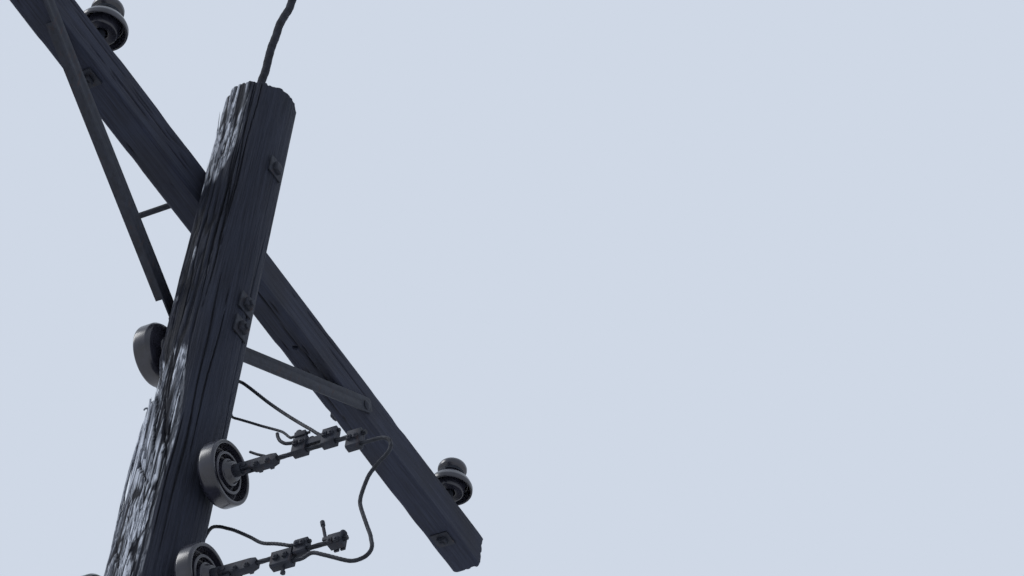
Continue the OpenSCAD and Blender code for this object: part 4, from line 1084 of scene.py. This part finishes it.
def arm_section():
    """Points round the arm's section from its middle, and the direction outwards at each of them."""
    b, w, h = ARM_BEVEL, ARM_W / 2, ARM_H / 2
    corners = [
        (w - b, -h), (w, -h + b), (w, h - b), (w - b, h), (-w + b, h), (-w, h - b), (-w, -h + b),
        (-w + b, -h),
    ]
    section, outward = [], []
    for p, q in zip(corners, corners[1:] + corners[:1]):
        p, q = np.array(p, float), np.array(q, float)
        long = np.linalg.norm(q - p)
        # About 4 mm from point to point
        steps = max(2, round(long / 4.2))
        for s in range(steps):
            section.append(p + (q - p) * s / steps)
            outward.append(np.array([(q - p)[1], -(q - p)[0]]) / long)
    return np.array(section), np.array(outward)


def arm_skin(settings):
    """Rings of points of the sawn arm in millimetres, and the painted shade in the checks at every point."""
    section, outward = arm_section()
    w, h = ARM_W / 2, ARM_H / 2
    k = len(section)
    turn = np.arange(k) * 2 * math.pi / k
    turns, places = np.meshgrid(turn, np.linspace(-ARM_LEN / 2, ARM_LEN / 2, 440))
    # Grain tables start at nought, so the arm's places are moved past it
    shifted = places + 2000
    push = 0.35 * grain(turns, shifted, k // 2, 150, 31) + 0.5 * grain(turns, shifted, 24, 300, 32)
    edge = np.abs(np.abs(section[:, 0]) - w) + np.abs(np.abs(section[:, 1]) - h) < 9
    wear = np.clip(grain(turns, shifted, 24, 70, 33) - 0.1, 0, 1) * settings.arm_wear * 1000
    push = push - 0.35 - np.where(edge, wear, 0)
    split = np.zeros_like(push)
    rng = np.random.default_rng(9)
    for m in range(34):
        axis = rng.integers(0, 2)
        sign = rng.choice([-1, 1])
        offset = rng.uniform(-0.7, 0.7) * (h if axis == 0 else w)
        low, length = rng.uniform(-1600, 1200), rng.uniform(200, 900)
        width, depth = rng.uniform(2.5, 5.5), rng.uniform(2, 6)
        arc = (section[:, 1] if axis == 0 else section[:, 0]) - offset
        mine = outward[:, axis] * sign > 0.9
        cut = check_cut(arc, places, low, length, width, depth, 2.3 * m) * mine
        push = push - cut
        split = np.maximum(split, np.clip(cut / 2.5, 0, 1))
    flat = section + push[:, :, None] * outward
    rings = list(np.stack([places, flat[:, :, 0] + ARM_Y, flat[:, :, 1] + ARM_Z], -1))
    cleft = list(split)

    # Slivers have broken from the ends, more of them at the far one
    for sign, most, seed in ((-1, 7, 51), (1, 5, 52)):
        lost = most * np.clip(grain(turn, 700, 40, 300, seed) + 0.1, 0, 1)
        lost = lost - lost.min()
        for ring in rings:
            ring[:, 0] -= sign * lost * rise(sign * ring[:, 0], ARM_LEN / 2 - 60, 60) ** 2

    # The ends: rough end grain with the splits that run in from it
    for end, inward in ((0, 1), (-1, -1)):
        last = rings[end]
        for share in (0.97, 0.85, 0.65, 0.42, 0.2, 0.001):
            x = -inward * ARM_LEN / 2 + (last[:, 0] + inward * ARM_LEN / 2) * share
            y = ARM_Y + (last[:, 1] - ARM_Y) * share
            z = ARM_Z + (last[:, 2] - ARM_Z) * share
            rough = 2.0 * np.abs(grain(turn, 500 + share * 900, 40, 90, 35 + end)) + 0.3
            crack = hump(y - ARM_Y, 9 * np.sin(z / 23), 2.5) * 9
            x += inward * (rough + crack - (0.3 if share > 0.96 else 0))
            at = 0 if end == 0 else len(rings)
            rings.insert(at, np.column_stack([x, y, z]))
            cleft.insert(at, np.clip(crack / 4, 0, 1))
    return rings, cleft


def timber_mesh(name, rings, **fields):
    """A mesh in metres of rings of points in millimetres, with its ends capped and its point attributes."""
    rings = np.array(rings)
    rows, around = rings.shape[:2]
    i, j = np.meshgrid(np.arange(rows - 1), np.arange(around), indexing="ij")
    k = (j + 1) % around
    sides = np.stack([i * around + j, i * around + k, (i + 1) * around + k, (i + 1) * around + j], -1)
    caps = [list(range(around))[::-1], list(range((rows - 1) * around, rows * around))]
    mesh = bpy.data.meshes.new(name)
    mesh.from_pydata((rings.reshape(-1, 3) / 1000).tolist(), [], sides.reshape(-1, 4).tolist() + caps)
    for field, values in fields.items():
        values = np.array(values, float).ravel()
        mesh.attributes.new(field, "FLOAT", "POINT").data.foreach_set("value", values)
    tidy(mesh, 50, 0.00001)
    return mesh


# Operators


class LINE_POLE_OT_camera(Operator):
    """Stand the camera where the pole is seen from below"""

    bl_idname = "line_pole.camera"
    bl_label = "Camera"

    def execute(self, context):
        data = bpy.data.cameras.new("camera")
        data.sensor_width = SENSOR
        data.lens = context.scene.line_stage.focal_length
        data.clip_end = 500
        made = bpy.data.objects.new("camera", data)
        context.scene.collection.objects.link(made)
        made.matrix_world = (
            Matrix.Translation(CAMERA_PLACE) @ Matrix.Rotation(math.radians(CAMERA_HEADING), 4, "Z")
            @ Matrix.Rotation(math.radians(CAMERA_TILT), 4, "X")
            @ Matrix.Rotation(math.radians(CAMERA_ROLL), 4, "Z")
        )
        context.scene.camera = made
        return {"FINISHED"}


class LINE_POLE_OT_finishes(Operator):
    """Make the materials of timber, steel, porcelain and conductors"""

    bl_idname = "line_pole.finishes"
    bl_label = "Finishes"

    def execute(self, context):
        colours = context.scene.line_finish
        for make in (creosoted_pole_timber, sawn_arm_timber, galvanised_steel, rusted_rod_steel,
                     brown_glazed_porcelain, weathered_conductor):
            make(colours)
        return {"FINISHED"}


class LINE_POLE_OT_jumpers(Operator):
    """Lay the jumpers round the pole and between the two right conductors"""

    bl_idname = "line_pole.jumpers"
    bl_label = "Jumpers"

    def execute(self, context):
        sizes = context.scene.line_hardware
        for name, node, way, diameter, wires in (
            ("upper_jumper_wire", "upper_jumper", UPPER_WAY, 9, 7),
            ("lower_jumper_wire", "lower_jumper", LOWER_WAY, 9, 7),
            ("joining_jumper_wire", "joining_jumper", JOINING_WAY, 10, 8),
            ("tap_jumper_wire", "tap_jumper", TAP_WAY, 7, 6),
        ):
            fine = bend(way, 8)
            # The curve doesn't swing out past the way's own points
            fine[:, 1] = np.minimum(fine[:, 1], max(p[1] for p in way))
            mesh = strands(name, fine, diameter, sizes, step=0.004, wires=wires, lay=0.1)
            made = piece(name, mesh, None, [node])
        return {"FINISHED"}


class LINE_POLE_OT_round_timber(Operator):
    """Build the round timber with its checks, bleached fibres and splinters"""

    bl_idname = "line_pole.round_timber"
    bl_label = "Round timber"

    def execute(self, context):
        sizes = context.scene.line_timber
        rings, bleach, split = pole_skin(sizes)
        mesh = timber_mesh("round_timber", rings, bleach=bleach, split=split)
        piece("round_timber", mesh, POLE_WOOD, ["pole"])
        slivers = grown(
            "timber_splinters", mesh.copy(), splinter_tree(), Density=sizes.splinter_count, Length=0.07,
            Width=0.0028, Lowest=0.3, Highest=7.36, Seed=7, Material=bpy.data.materials[POLE_WOOD],
        )
        piece("timber_splinters", slivers, None, ())
        # Long slivers that have sprung from the weather side: turn, heights with distances off it, radius
        form = Form()
        for angle, way, thick in (
            (-47, ((5700, -10), (5800, -4), (5900, 0), (6000, 3), (6100, 4), (6180, 2), (6240, -1),
                   (6290, -5), (6312, -3), (6313, 4), (6306, 7)), 3.2),
            (-54, ((6050, -6), (6130, -1), (6200, 2), (6260, 2), (6300, -3)), 2.4),
            (-20, ((6080, -2), (6180, 4), (6260, 8), (6300, 12)), 2.6),
        ):
            turn = math.radians(angle)
            far = [(pole_r(z) + off, z) for z, off in way]
            points = bend([(r * math.cos(turn), r * math.sin(turn), z) for r, z in far], 5)
            share = np.linspace(0, 1, len(points))
            form.tube(points, thick * (1.15 - share**3 * 0.55), 7)
        mesh = form.mesh("sprung_slivers", 60)
        values = np.full(len(mesh.vertices), SLIVER_BLEACH)
        mesh.attributes.new("bleach", "FLOAT", "POINT").data.foreach_set("value", values)
        piece("sprung_slivers", mesh, POLE_WOOD, ())
        return {"FINISHED"}


class LINE_POLE_OT_arm(Operator):
    """Build the sawn arm with its checks, worn edges and open spare hole"""

    bl_idname = "line_pole.arm"
    bl_label = "Crossarm"

    def execute(self, context):
        rings, split = arm_skin(context.scene.line_timber)
        holder = bpy.data.objects.new("holder", timber_mesh("arm", rings, split=split))
        context.scene.collection.objects.link(holder)
        drill = Form()
        drill.rod((-PIN_INNER, ARM_Y, ARM_BOTTOM - 40), (0, 0, 1), ARM_H + 80, HOLE_R, 40)
        tool = bpy.data.objects.new("drill", drill.mesh("drill"))
        context.scene.collection.objects.link(tool)
        cut = holder.modifiers.new("spare hole", "BOOLEAN")
        cut.operation, cut.solver, cut.object = "DIFFERENCE", "EXACT", tool
        mesh = evaluated_mesh(holder, "sawn_arm")
        bpy.data.objects.remove(tool)
        piece("sawn_arm", mesh, ARM_WOOD, ["crossarm"])
        return {"FINISHED"}


class LINE_POLE_OT_braces(Operator):
    """Round the rolled edges of the two angle braces and the washers"""

    bl_idname = "line_pole.braces"
    bl_label = "Braces"

    def execute(self, context):
        worn = context.scene.line_hardware.edge_wear
        for node, name in (
            ("near_brace", "near_angle_brace"), ("far_brace", "far_angle_brace"),
            ("crossarm_washers", "crossarm_square_washers"), ("bell_plates", "bell_square_washers"),
        ):
            softened(node, name, worn)
        return {"FINISHED"}


class LINE_POLE_OT_bolts(Operator):
    """Turn the through bolts with their square heads, nuts and threads"""

    bl_idname = "line_pole.bolts"
    bl_label = "Bolts"

    def execute(self, context):
        pitch = context.scene.line_hardware.thread_pitch
        back = (math.radians(90), 0, 0)
        front = (math.radians(-90), 0, 0)

        def bolt_set(name, node, form, ridges):
            piece(name, joined(name, [form.mesh(name), ridges]), STEEL, [node])

        # Crossarm bolt: its head behind the pole, its long tail in front of the arm
        seat = pole_r(ARM_BOLT_Z) + SEAT + PLATE
        nose = ARM_FRONT - PLATE
        tail = nose - NUT - BOLT_TAIL
        form = Form()
        form.rod((0, seat, ARM_BOLT_Z), (0, -1, 0), seat - tail, BOLT_R)
        form.nut((0, seat, ARM_BOLT_Z), (0, 1, 0), NUT_W, HEAD)
        form.nut((0, nose, ARM_BOLT_Z), (0, -1, 0), NUT_W, NUT)
        ridges = threads("tail", [(0, nose - NUT, ARM_BOLT_Z)], [back], BOLT_R, BOLT_TAIL - 2, pitch)
        bolt_set("crossarm_through_bolt", "crossarm_bolt", form, ridges)

        # Carriage bolts that hold the braces to the arm; the far brace lies on the near one
        form = Form()
        starts = []
        for side, lift in ((1, 0), (-1, PLATE)):
            head = brace_head_y(lift)
            x = side * BRACE_REACH
            form.rod((x, head, BRACE_ARM_Z), (0, -1, 0), head - ARM_FRONT + NUT + TIP, CARRIAGE_R)
            form.lathe([(0, 0), (14.5, 0), (14.5, 1.2), (11, 4), (6, 5.3), (0, 5.5)],
                       (x, head, BRACE_ARM_Z), (0, 1, 0), 24)
            form.nut((x, ARM_FRONT, BRACE_ARM_Z), (0, -1, 0), NUT_W, NUT)
            starts.append((x, ARM_FRONT - NUT, BRACE_ARM_Z))
        ridges = threads("carriage threads", starts, [back] * 2, CARRIAGE_R, THREAD, pitch)
        bolt_set("brace_carriage_bolts", "brace_arm_bolts", form, ridges)

        # Pole bolt that both braces share
        seat = pole_r(BRACE_POLE_Z) + SEAT
        nose = -(seat + 2 * PLATE + SEAT)
        form = Form()
        form.rod((0, nose, BRACE_POLE_Z), (0, 1, 0), seat + PLATE + NUT + TIP - nose, BOLT_R)
        form.nut((0, nose, BRACE_POLE_Z), (0, -1, 0), NUT_W, HEAD)
        form.nut((0, seat + PLATE, BRACE_POLE_Z), (0, 1, 0), NUT_W, NUT)
        form.block((-WASHER, seat, BRACE_POLE_Z - WASHER), (WASHER, seat + PLATE, BRACE_POLE_Z + WASHER), 0.9)
        starts = [(0, seat + PLATE + NUT, BRACE_POLE_Z)]
        ridges = threads("pole bolt thread", starts, [front], BOLT_R, THREAD, pitch)
        bolt_set("brace_shared_bolt", "brace_pole_bolt", form, ridges)

        # Bolts of the bells: an eye nut on the right or a plain nut on a bare side
        form = Form()
        starts, turns = [], []
        for z, left, right in ((LEFT_UPPER, True, False), (RIGHT_UPPER, False, True), (LOWER, True, True)):
            f = face(z)
            left_nut = HUB_END + SEAT + LUG if left else PLATE
            right_end = HUB_END + SEAT + 9 if right else PLATE + NUT + TIP
            low = left_nut + NUT + TIP
            form.rod((0, -f - low, z), (0, 1, 0), 2 * f + low + right_end, BOLT_R)
            form.nut((0, -f - left_nut, z), (0, -1, 0), NUT_W, NUT)
            starts.append((0, -f - left_nut - NUT, z))
            turns.append(back)
            if not right:
                form.nut((0, f + PLATE, z), (0, 1, 0), NUT_W, NUT)
                starts.append((0, f + PLATE + NUT, z))
                turns.append(front)
        ridges = threads("bell bolt threads", starts, turns, BOLT_R, THREAD, pitch)
        bolt_set("bell_through_bolts", "bell_bolts", form, ridges)
        return {"FINISHED"}


def brace_head_y(lift):
    """Place of the carriage bolt's head on the inner face of a brace that lies lift off the pole."""
    up = BRACE_ARM_Z - BRACE_POLE_Z
    long = math.hypot(BRACE_REACH, up)
    foot = -(pole_r(BRACE_POLE_Z) + SEAT + PLATE + lift)
    slope = math.asin((-GAIN_Y + SEAT - foot) / (long - 32 / math.sin(math.atan(up / BRACE_REACH))))
    return foot + PLATE + long * math.sin(slope) + 13 * math.tan(slope) + SEAT


class LINE_POLE_OT_pins(Operator):
    """Turn the steel pins of the arm insulators with their collars, washers and nuts"""

    bl_idname = "line_pole.pins"
    bl_label = "Pins"

    def execute(self, context):
        pitch = context.scene.line_hardware.thread_pitch
        # From the foot through the arm, up to the collar on it, the neck and the head in the insulator
        low = ARM_BOTTOM - PLATE - NUT - TIP
        up = ARM_TOP - low
        profile = [
            (0, 0), (7, 0), (8, 1.2), (8, up), (25, up), (25, up + 4.5), (23, up + 6), (17, up + 7.5),
            (14.5, up + 16), (12.3, up + 60), (12.3, up + 88), (17.5, up + 88), (17.5, up + 138),
            (0, up + 138),
        ]
        for name, node, x in (
            ("near_end_steel_pin", "near_end_pin", PIN_OUTER),
            ("near_inner_steel_pin", "near_inner_pin", PIN_INNER),
            ("far_end_steel_pin", "far_end_pin", -PIN_OUTER),
        ):
            form = Form()
            form.lathe(profile, (x, ARM_Y, low), (0, 0, 1), 32)
            form.block((x - WASHER, ARM_Y - WASHER, ARM_BOTTOM - PLATE),
                       (x + WASHER, ARM_Y + WASHER, ARM_BOTTOM), 0.9)
            form.nut((x, ARM_Y, ARM_BOTTOM - PLATE), (0, 0, -1), NUT_W, NUT)
            ridges = threads(name, [(x, ARM_Y, low + 0.5)], [(0, 0, 0)], BOLT_R, THREAD, pitch)
            piece(name, joined(name, [form.mesh(name), ridges]), STEEL, [node])
        return {"FINISHED"}


class LINE_POLE_OT_arm_insulators(Operator):
    """Turn the glazed insulators on the arm, with their wire groove, petticoats and neck tie"""

    bl_idname = "line_pole.arm_insulators"
    bl_label = "Arm insulators"

    def execute(self, context):
        # Radius and height of the insulator
        r, h = 70.0, 120.0
        head, neck = 0.64 * r, 0.48 * r
        outline = rounded([
            (17.8, 0), (0.6 * r, 0), (0.66 * r, 0.1 * h), (0.72 * r, 0.3 * h), (0.78 * r, 0.3 * h),
            (0.9 * r, 0.15 * h), (0.92 * r, 0.075 * h), (0.985 * r, 0.07 * h), (r, 0.105 * h), (r, 0.2 * h),
            (0.86 * r, 0.36 * h), (0.7 * r, 0.46 * h), (0.6 * r, 0.52 * h), (neck, 0.57 * h),
            (neck, 0.67 * h), (head, 0.74 * h), (head, 0.84 * h), (0.9 * head, 0.92 * h),
            (0.7 * head, 0.975 * h), (0.45 * head, h - 0.6),
        ], 3.5)
        # A slightly domed crown, and the radius of the wire groove across it
        crown = [(0.45 * head * s, h - 0.6 + 0.5 * (1 - s * s))
                 for s in (1, 0.86, 0.72, 0.58, 0.44, 0.3, 0.15, 0)]
        groove = 11
        base = ARM_TOP + PIN_LIFT
        # From the bore's mouth round the petticoats to the crown, and back down inside the bore
        profile = [(0, 72.3), (17.8, 72.3), (17.8, 36), (17.8, 4)] + outline[3:-5] + crown
        for name, node, x in (
            ("near_end_porcelain", "near_end_insulator", PIN_OUTER),
            ("near_inner_porcelain", "near_inner_insulator", PIN_INNER),
            ("far_end_porcelain", "far_end_insulator", -PIN_OUTER),
        ):
            form = Form()
            form.lathe(profile, (x, ARM_Y, base), (0, 0, 1), 72)
            saddled = []
            for px, py, pz in form.points:
                dx = px - x
                if abs(dx) < groove and pz > base + 90:
                    pz = min(pz, base + h - math.sqrt(groove * groove - dx * dx) * 0.98)
                saddled.append((px, py, pz))
            form.points = saddled
            piece(name, form.mesh(name, 60), PORCELAIN, [node])
        necks = [(x, ARM_Y, base + 0.57 * h + 1) for x in (PIN_OUTER, PIN_INNER, -PIN_OUTER)]
        ties = grown(
            "neck_ties", point_cloud("neck_ties", necks), tie_wire_tree(), Radius=(neck + 2.9) / 1000,
            Turns=2.4, Wire=0.0055, Material=bpy.data.materials[ALUMINIUM],
        )
        piece("neck_ties", ties, None, ())
        return {"FINISHED"}


class LINE_POLE_OT_bells(Operator):
    """Turn the four glazed bells with the petticoats inside their rims"""

    bl_idname = "line_pole.bells"
    bl_label = "Bells"

    def execute(self, context):
        # Radius of the bell, depth of its dome and distance of its rim from the pole
        r, back, rim = 82.5, 16.0, float(BELL_RIM)
        profile = rounded([
            (HOLE_R, 5), (0.4 * r, 5), (0.44 * r, 8), (0.46 * r, 0.7 * back), (0.6 * r, 0.82 * back),
            (0.8 * r, back), (0.92 * r, back + 4), (r, back + 14), (r, rim - 5), (0.975 * r, rim),
            (0.87 * r, rim), (0.87 * r, rim - 25), (0.84 * r, rim - 30), (0.69 * r, rim - 30),
            (0.66 * r, rim - 25), (0.66 * r, rim - 6), (0.56 * r, rim - 5), (0.56 * r, rim - 20),
            (0.53 * r, rim - 24), (0.45 * r, rim - 24), (0.42 * r, rim - 20), (0.42 * r, rim - 3),
            (0.36 * r, rim - 2), (0.3 * r, HUB_END - 3), (0.27 * r, HUB_END), (HOLE_R, HUB_END),
        ], 2.6, 3)
        for name, node, side, z in (
            ("left_upper_porcelain", "left_upper_bell", LEFT, LEFT_UPPER),
            ("left_lower_porcelain", "left_lower_bell", LEFT, LOWER),
            ("right_upper_porcelain", "right_upper_bell", RIGHT, RIGHT_UPPER),
            ("right_lower_porcelain", "right_lower_bell", RIGHT, LOWER),
        ):
            form = Form()
            form.lathe(profile, (0, side * face(z), z), (0, side, 0), 84, closed=True)
            piece(name, form.mesh(name, 60), PORCELAIN, [node])
        return {"FINISHED"}


class LINE_POLE_OT_fittings(Operator):
    """Put on the lugs, eye nuts, strain clamps and connectors with their small bolts"""

    bl_idname = "line_pole.fittings"
    bl_label = "Fittings"

    def execute(self, context):
        worn = context.scene.line_hardware.edge_wear
        for node, name in (
            ("left_lugs", "left_wire_lugs"), ("eye_nuts", "forged_eye_nuts"), ("clamps", "strain_clamps"),
            ("upper_connectors", "upper_bolted_connectors"), ("lower_connectors", "lower_bolted_connectors"),
        ):
            softened(node, name, worn)
        # On the upper conductor: a keeper's tail on the clamp, a strap with two bolts between the first and
        # second connectors, and bolt heads on the first
        form = Form()
        f, z = face(RIGHT_UPPER), RIGHT_UPPER
        keeper = [(0, f + 172, z + 9), (0, f + 160, z + 19), (0, f + 134, z + 34), (0, f + 111, z + 50)]
        form.tube(bend(keeper, 4), 3.4, 10)
        form.block((-8, f + FIRST_Y + 34, z + 9), (8, f + UPPER_Y + 2, z + 29), 1.2)
        for y in (288, 308):
            form.nut((0, f + y, z + 29), (0, 0, 1), 11, 6)
        form.nut((9, f + 254, z + 52), (0, 0, 1), 12, 7)
        form.nut((9, f + 268, z + 50), (0, 0, 1), 9, 5)
        # On the lower one: a round cap on the third connector, and a stud under the deep one
        f, z = face(LOWER), LOWER
        form.lathe([(0, -8), (6, -8), (6, 0), (9, 2), (9.3, 6), (7.5, 10), (4, 12), (0, 12.5)],
                   (0, f + 420, z + 12), (0, 0.75, 0.66), 20)
        form.lathe([(0, -6), (3.5, -6), (3.5, 12), (6, 13), (6, 19), (0, 20)],
                   (0, f + DEEP_END - 21, z - 38), (0, 0, -1), 14)
        piece("fitting_small_parts", form.mesh("fitting_small_parts"), STEEL, ())
        return {"FINISHED"}


class LINE_POLE_OT_conductors(Operator):
    """Lay the cut ends of the conductors in their clamps"""

    bl_idname = "line_pole.conductors"
    bl_label = "Conductor ends"

    def execute(self, context):
        sizes = context.scene.line_hardware
        parts = []
        for z, end in ((RIGHT_UPPER, UNDER_END + 10), (LOWER, THIRD_END + 10)):
            way = [(0, face(z) + y, z) for y in np.linspace(CLAMP_Y, end, 12)]
            parts.append(strands(f"end_{z}", way, 12, sizes, step=0.004))
        piece("stranded_conductor_ends", joined("stranded_conductor_ends", parts),
              ALUMINIUM, ["conductor_ends"])
        tail = strands("cut_wire_tail", bend(TAIL_WAY, 6), 9, sizes, step=0.003, wires=7, lay=0.1)
        piece("cut_wire_tail", tail, None, ["cut_tail"])
        return {"FINISHED"}


class LINE_POLE_OT_top_rod(Operator):
    """Bend the rusted rod out of the pole's top"""

    bl_idname = "line_pole.top_rod"
    bl_label = "Top rod"

    def execute(self, context):
        way = bend(ROD_WAY, 10) + np.array([0, 0, POLE_H])
        steps = np.arange(len(way))
        # A little uneven, and thinner at its cut end
        thick = 11.6 + 0.3 * np.sin(steps * 0.9) + 0.2 * np.sin(steps * 2.3)
        thick[-8:] = np.linspace(11.2, 9.2, 8)
        thick[-1] = 7.6
        form = Form()
        form.tube(way, thick, 20)
        mesh = form.mesh("rusted_top_rod")
        piece("rusted_top_rod", mesh, RUSTED_STEEL, ["top_rod"])
        return {"FINISHED"}


class LINE_POLE_OT_stage(Operator):
    """Set the plain floor, the backdrop and the soft light"""

    bl_idname = "line_pole.stage"
    bl_label = "Stage"

    def execute(self, context):
        stage = context.scene.line_stage
        finish, tree, shader = begun("floor_matt_paint")
        place = add(tree, "ShaderNodeTexCoord").outputs["Object"]
        # Faint roller marks 400 mm wide
        roller = add(tree, "ShaderNodeTexNoise", {"Vector": place, "Scale": 2.5, "Detail": 3}).outputs[0]
        tone = add(tree, "ShaderNodeMix", {
            0: roller, 6: rgba(stage.floor, 0.98), 7: rgba(stage.floor, 1.02)}, data_type="RGBA").outputs[2]
        connect(tree, shader, {"Base Color": tone, "Roughness": 0.95})
        # A disc of 140 m, a millimetre below the pole's foot
        circle = [(140 * math.cos(a), 140 * math.sin(a), -0.001) for a in np.arange(96) * 2 * math.pi / 96]
        disc = bpy.data.meshes.new("floor")
        disc.from_pydata(circle, [], [list(range(96))])
        disc.materials.append(finish)
        floor = bpy.data.objects.new("floor", disc)
        context.scene.collection.objects.link(floor)

        # Even light all round, and the plain backdrop for the camera, for gloss and behind glass
        world = bpy.data.worlds.new("studio")
        world.use_nodes = True
        tree = world.node_tree
        lit = tree.nodes["Background"]
        connect(tree, lit, {"Color": (0.97, 0.98, 1.0, 1.0), "Strength": stage.light})
        seen = add(tree, "ShaderNodeBackground", {"Color": rgba(stage.backdrop), "Strength": 1.0}).outputs[0]
        ray = add(tree, "ShaderNodeLightPath").outputs
        either = add(tree, "ShaderNodeMath", {
            0: ray["Is Camera Ray"], 1: ray["Is Glossy Ray"]}, operation="MAXIMUM").outputs[0]
        either = add(tree, "ShaderNodeMath", {
            0: either, 1: ray["Is Transmission Ray"]}, operation="MAXIMUM").outputs[0]
        both = add(tree, "ShaderNodeMixShader", {0: either, 1: lit.outputs[0], 2: seen}).outputs[0]
        tree.links.new(both, tree.nodes["World Output"].inputs["Surface"])
        context.scene.world = world

        # A wide, soft lamp from above the near end, on the arm's side
        key = bpy.data.lights.new("key", "SUN")
        key.energy, key.angle = 1.1, math.radians(25)
        lamp = bpy.data.objects.new("key", key)
        lamp.rotation_euler = Euler((math.radians(52), 0, math.radians(35)))
        context.scene.collection.objects.link(lamp)
        context.scene.view_settings.view_transform = "Standard"
        return {"FINISHED"}


STEPS = (
    "camera", "finishes", "jumpers", "round_timber", "arm", "braces", "bolts", "pins", "arm_insulators",
    "bells", "fittings", "conductors", "top_rod", "stage",
)


class LINE_POLE_PT_sidebar(Panel):
    """Settings and steps of the telephone pole"""

    bl_idname = "LINE_POLE_PT_sidebar"
    bl_label = "Telephone pole"
    bl_space_type = "VIEW_3D"
    bl_region_type = "UI"
    bl_category = "Pole"

    def draw(self, context):
        for group in ("line_timber", "line_hardware", "line_finish", "line_stage"):
            box = self.layout.box()
            settings = getattr(context.scene, group)
            for name in settings.__annotations__:
                box.prop(settings, name)
        for step in STEPS:
            self.layout.operator(f"line_pole.{step}")


GROUPS = {
    "line_timber": TimberSettings, "line_hardware": HardwareSettings, "line_finish": FinishSettings,
    "line_stage": StageSettings,
}
CLASSES = (
    *GROUPS.values(), LINE_POLE_OT_camera, LINE_POLE_OT_finishes, LINE_POLE_OT_jumpers,
    LINE_POLE_OT_round_timber, LINE_POLE_OT_arm, LINE_POLE_OT_braces, LINE_POLE_OT_bolts, LINE_POLE_OT_pins,
    LINE_POLE_OT_arm_insulators, LINE_POLE_OT_bells, LINE_POLE_OT_fittings, LINE_POLE_OT_conductors,
    LINE_POLE_OT_top_rod, LINE_POLE_OT_stage, LINE_POLE_PT_sidebar,
)


def register():
    """Registers the classes and gives the scene its settings."""
    for item in CLASSES:
        bpy.utils.register_class(item)
    for name, group in GROUPS.items():
        setattr(bpy.types.Scene, name, PointerProperty(type=group))


def unregister():
    """Takes the settings and the classes away again."""
    for name in GROUPS:
        delattr(bpy.types.Scene, name)
    for item in reversed(CLASSES):
        bpy.utils.unregister_class(item)


def main():
    """Builds the whole pole."""
    register()
    for step in STEPS:
        if getattr(bpy.ops.line_pole, step)() != {"FINISHED"}:
            raise RuntimeError(f"{step} did not finish")


if __name__ == "__main__":
    main()
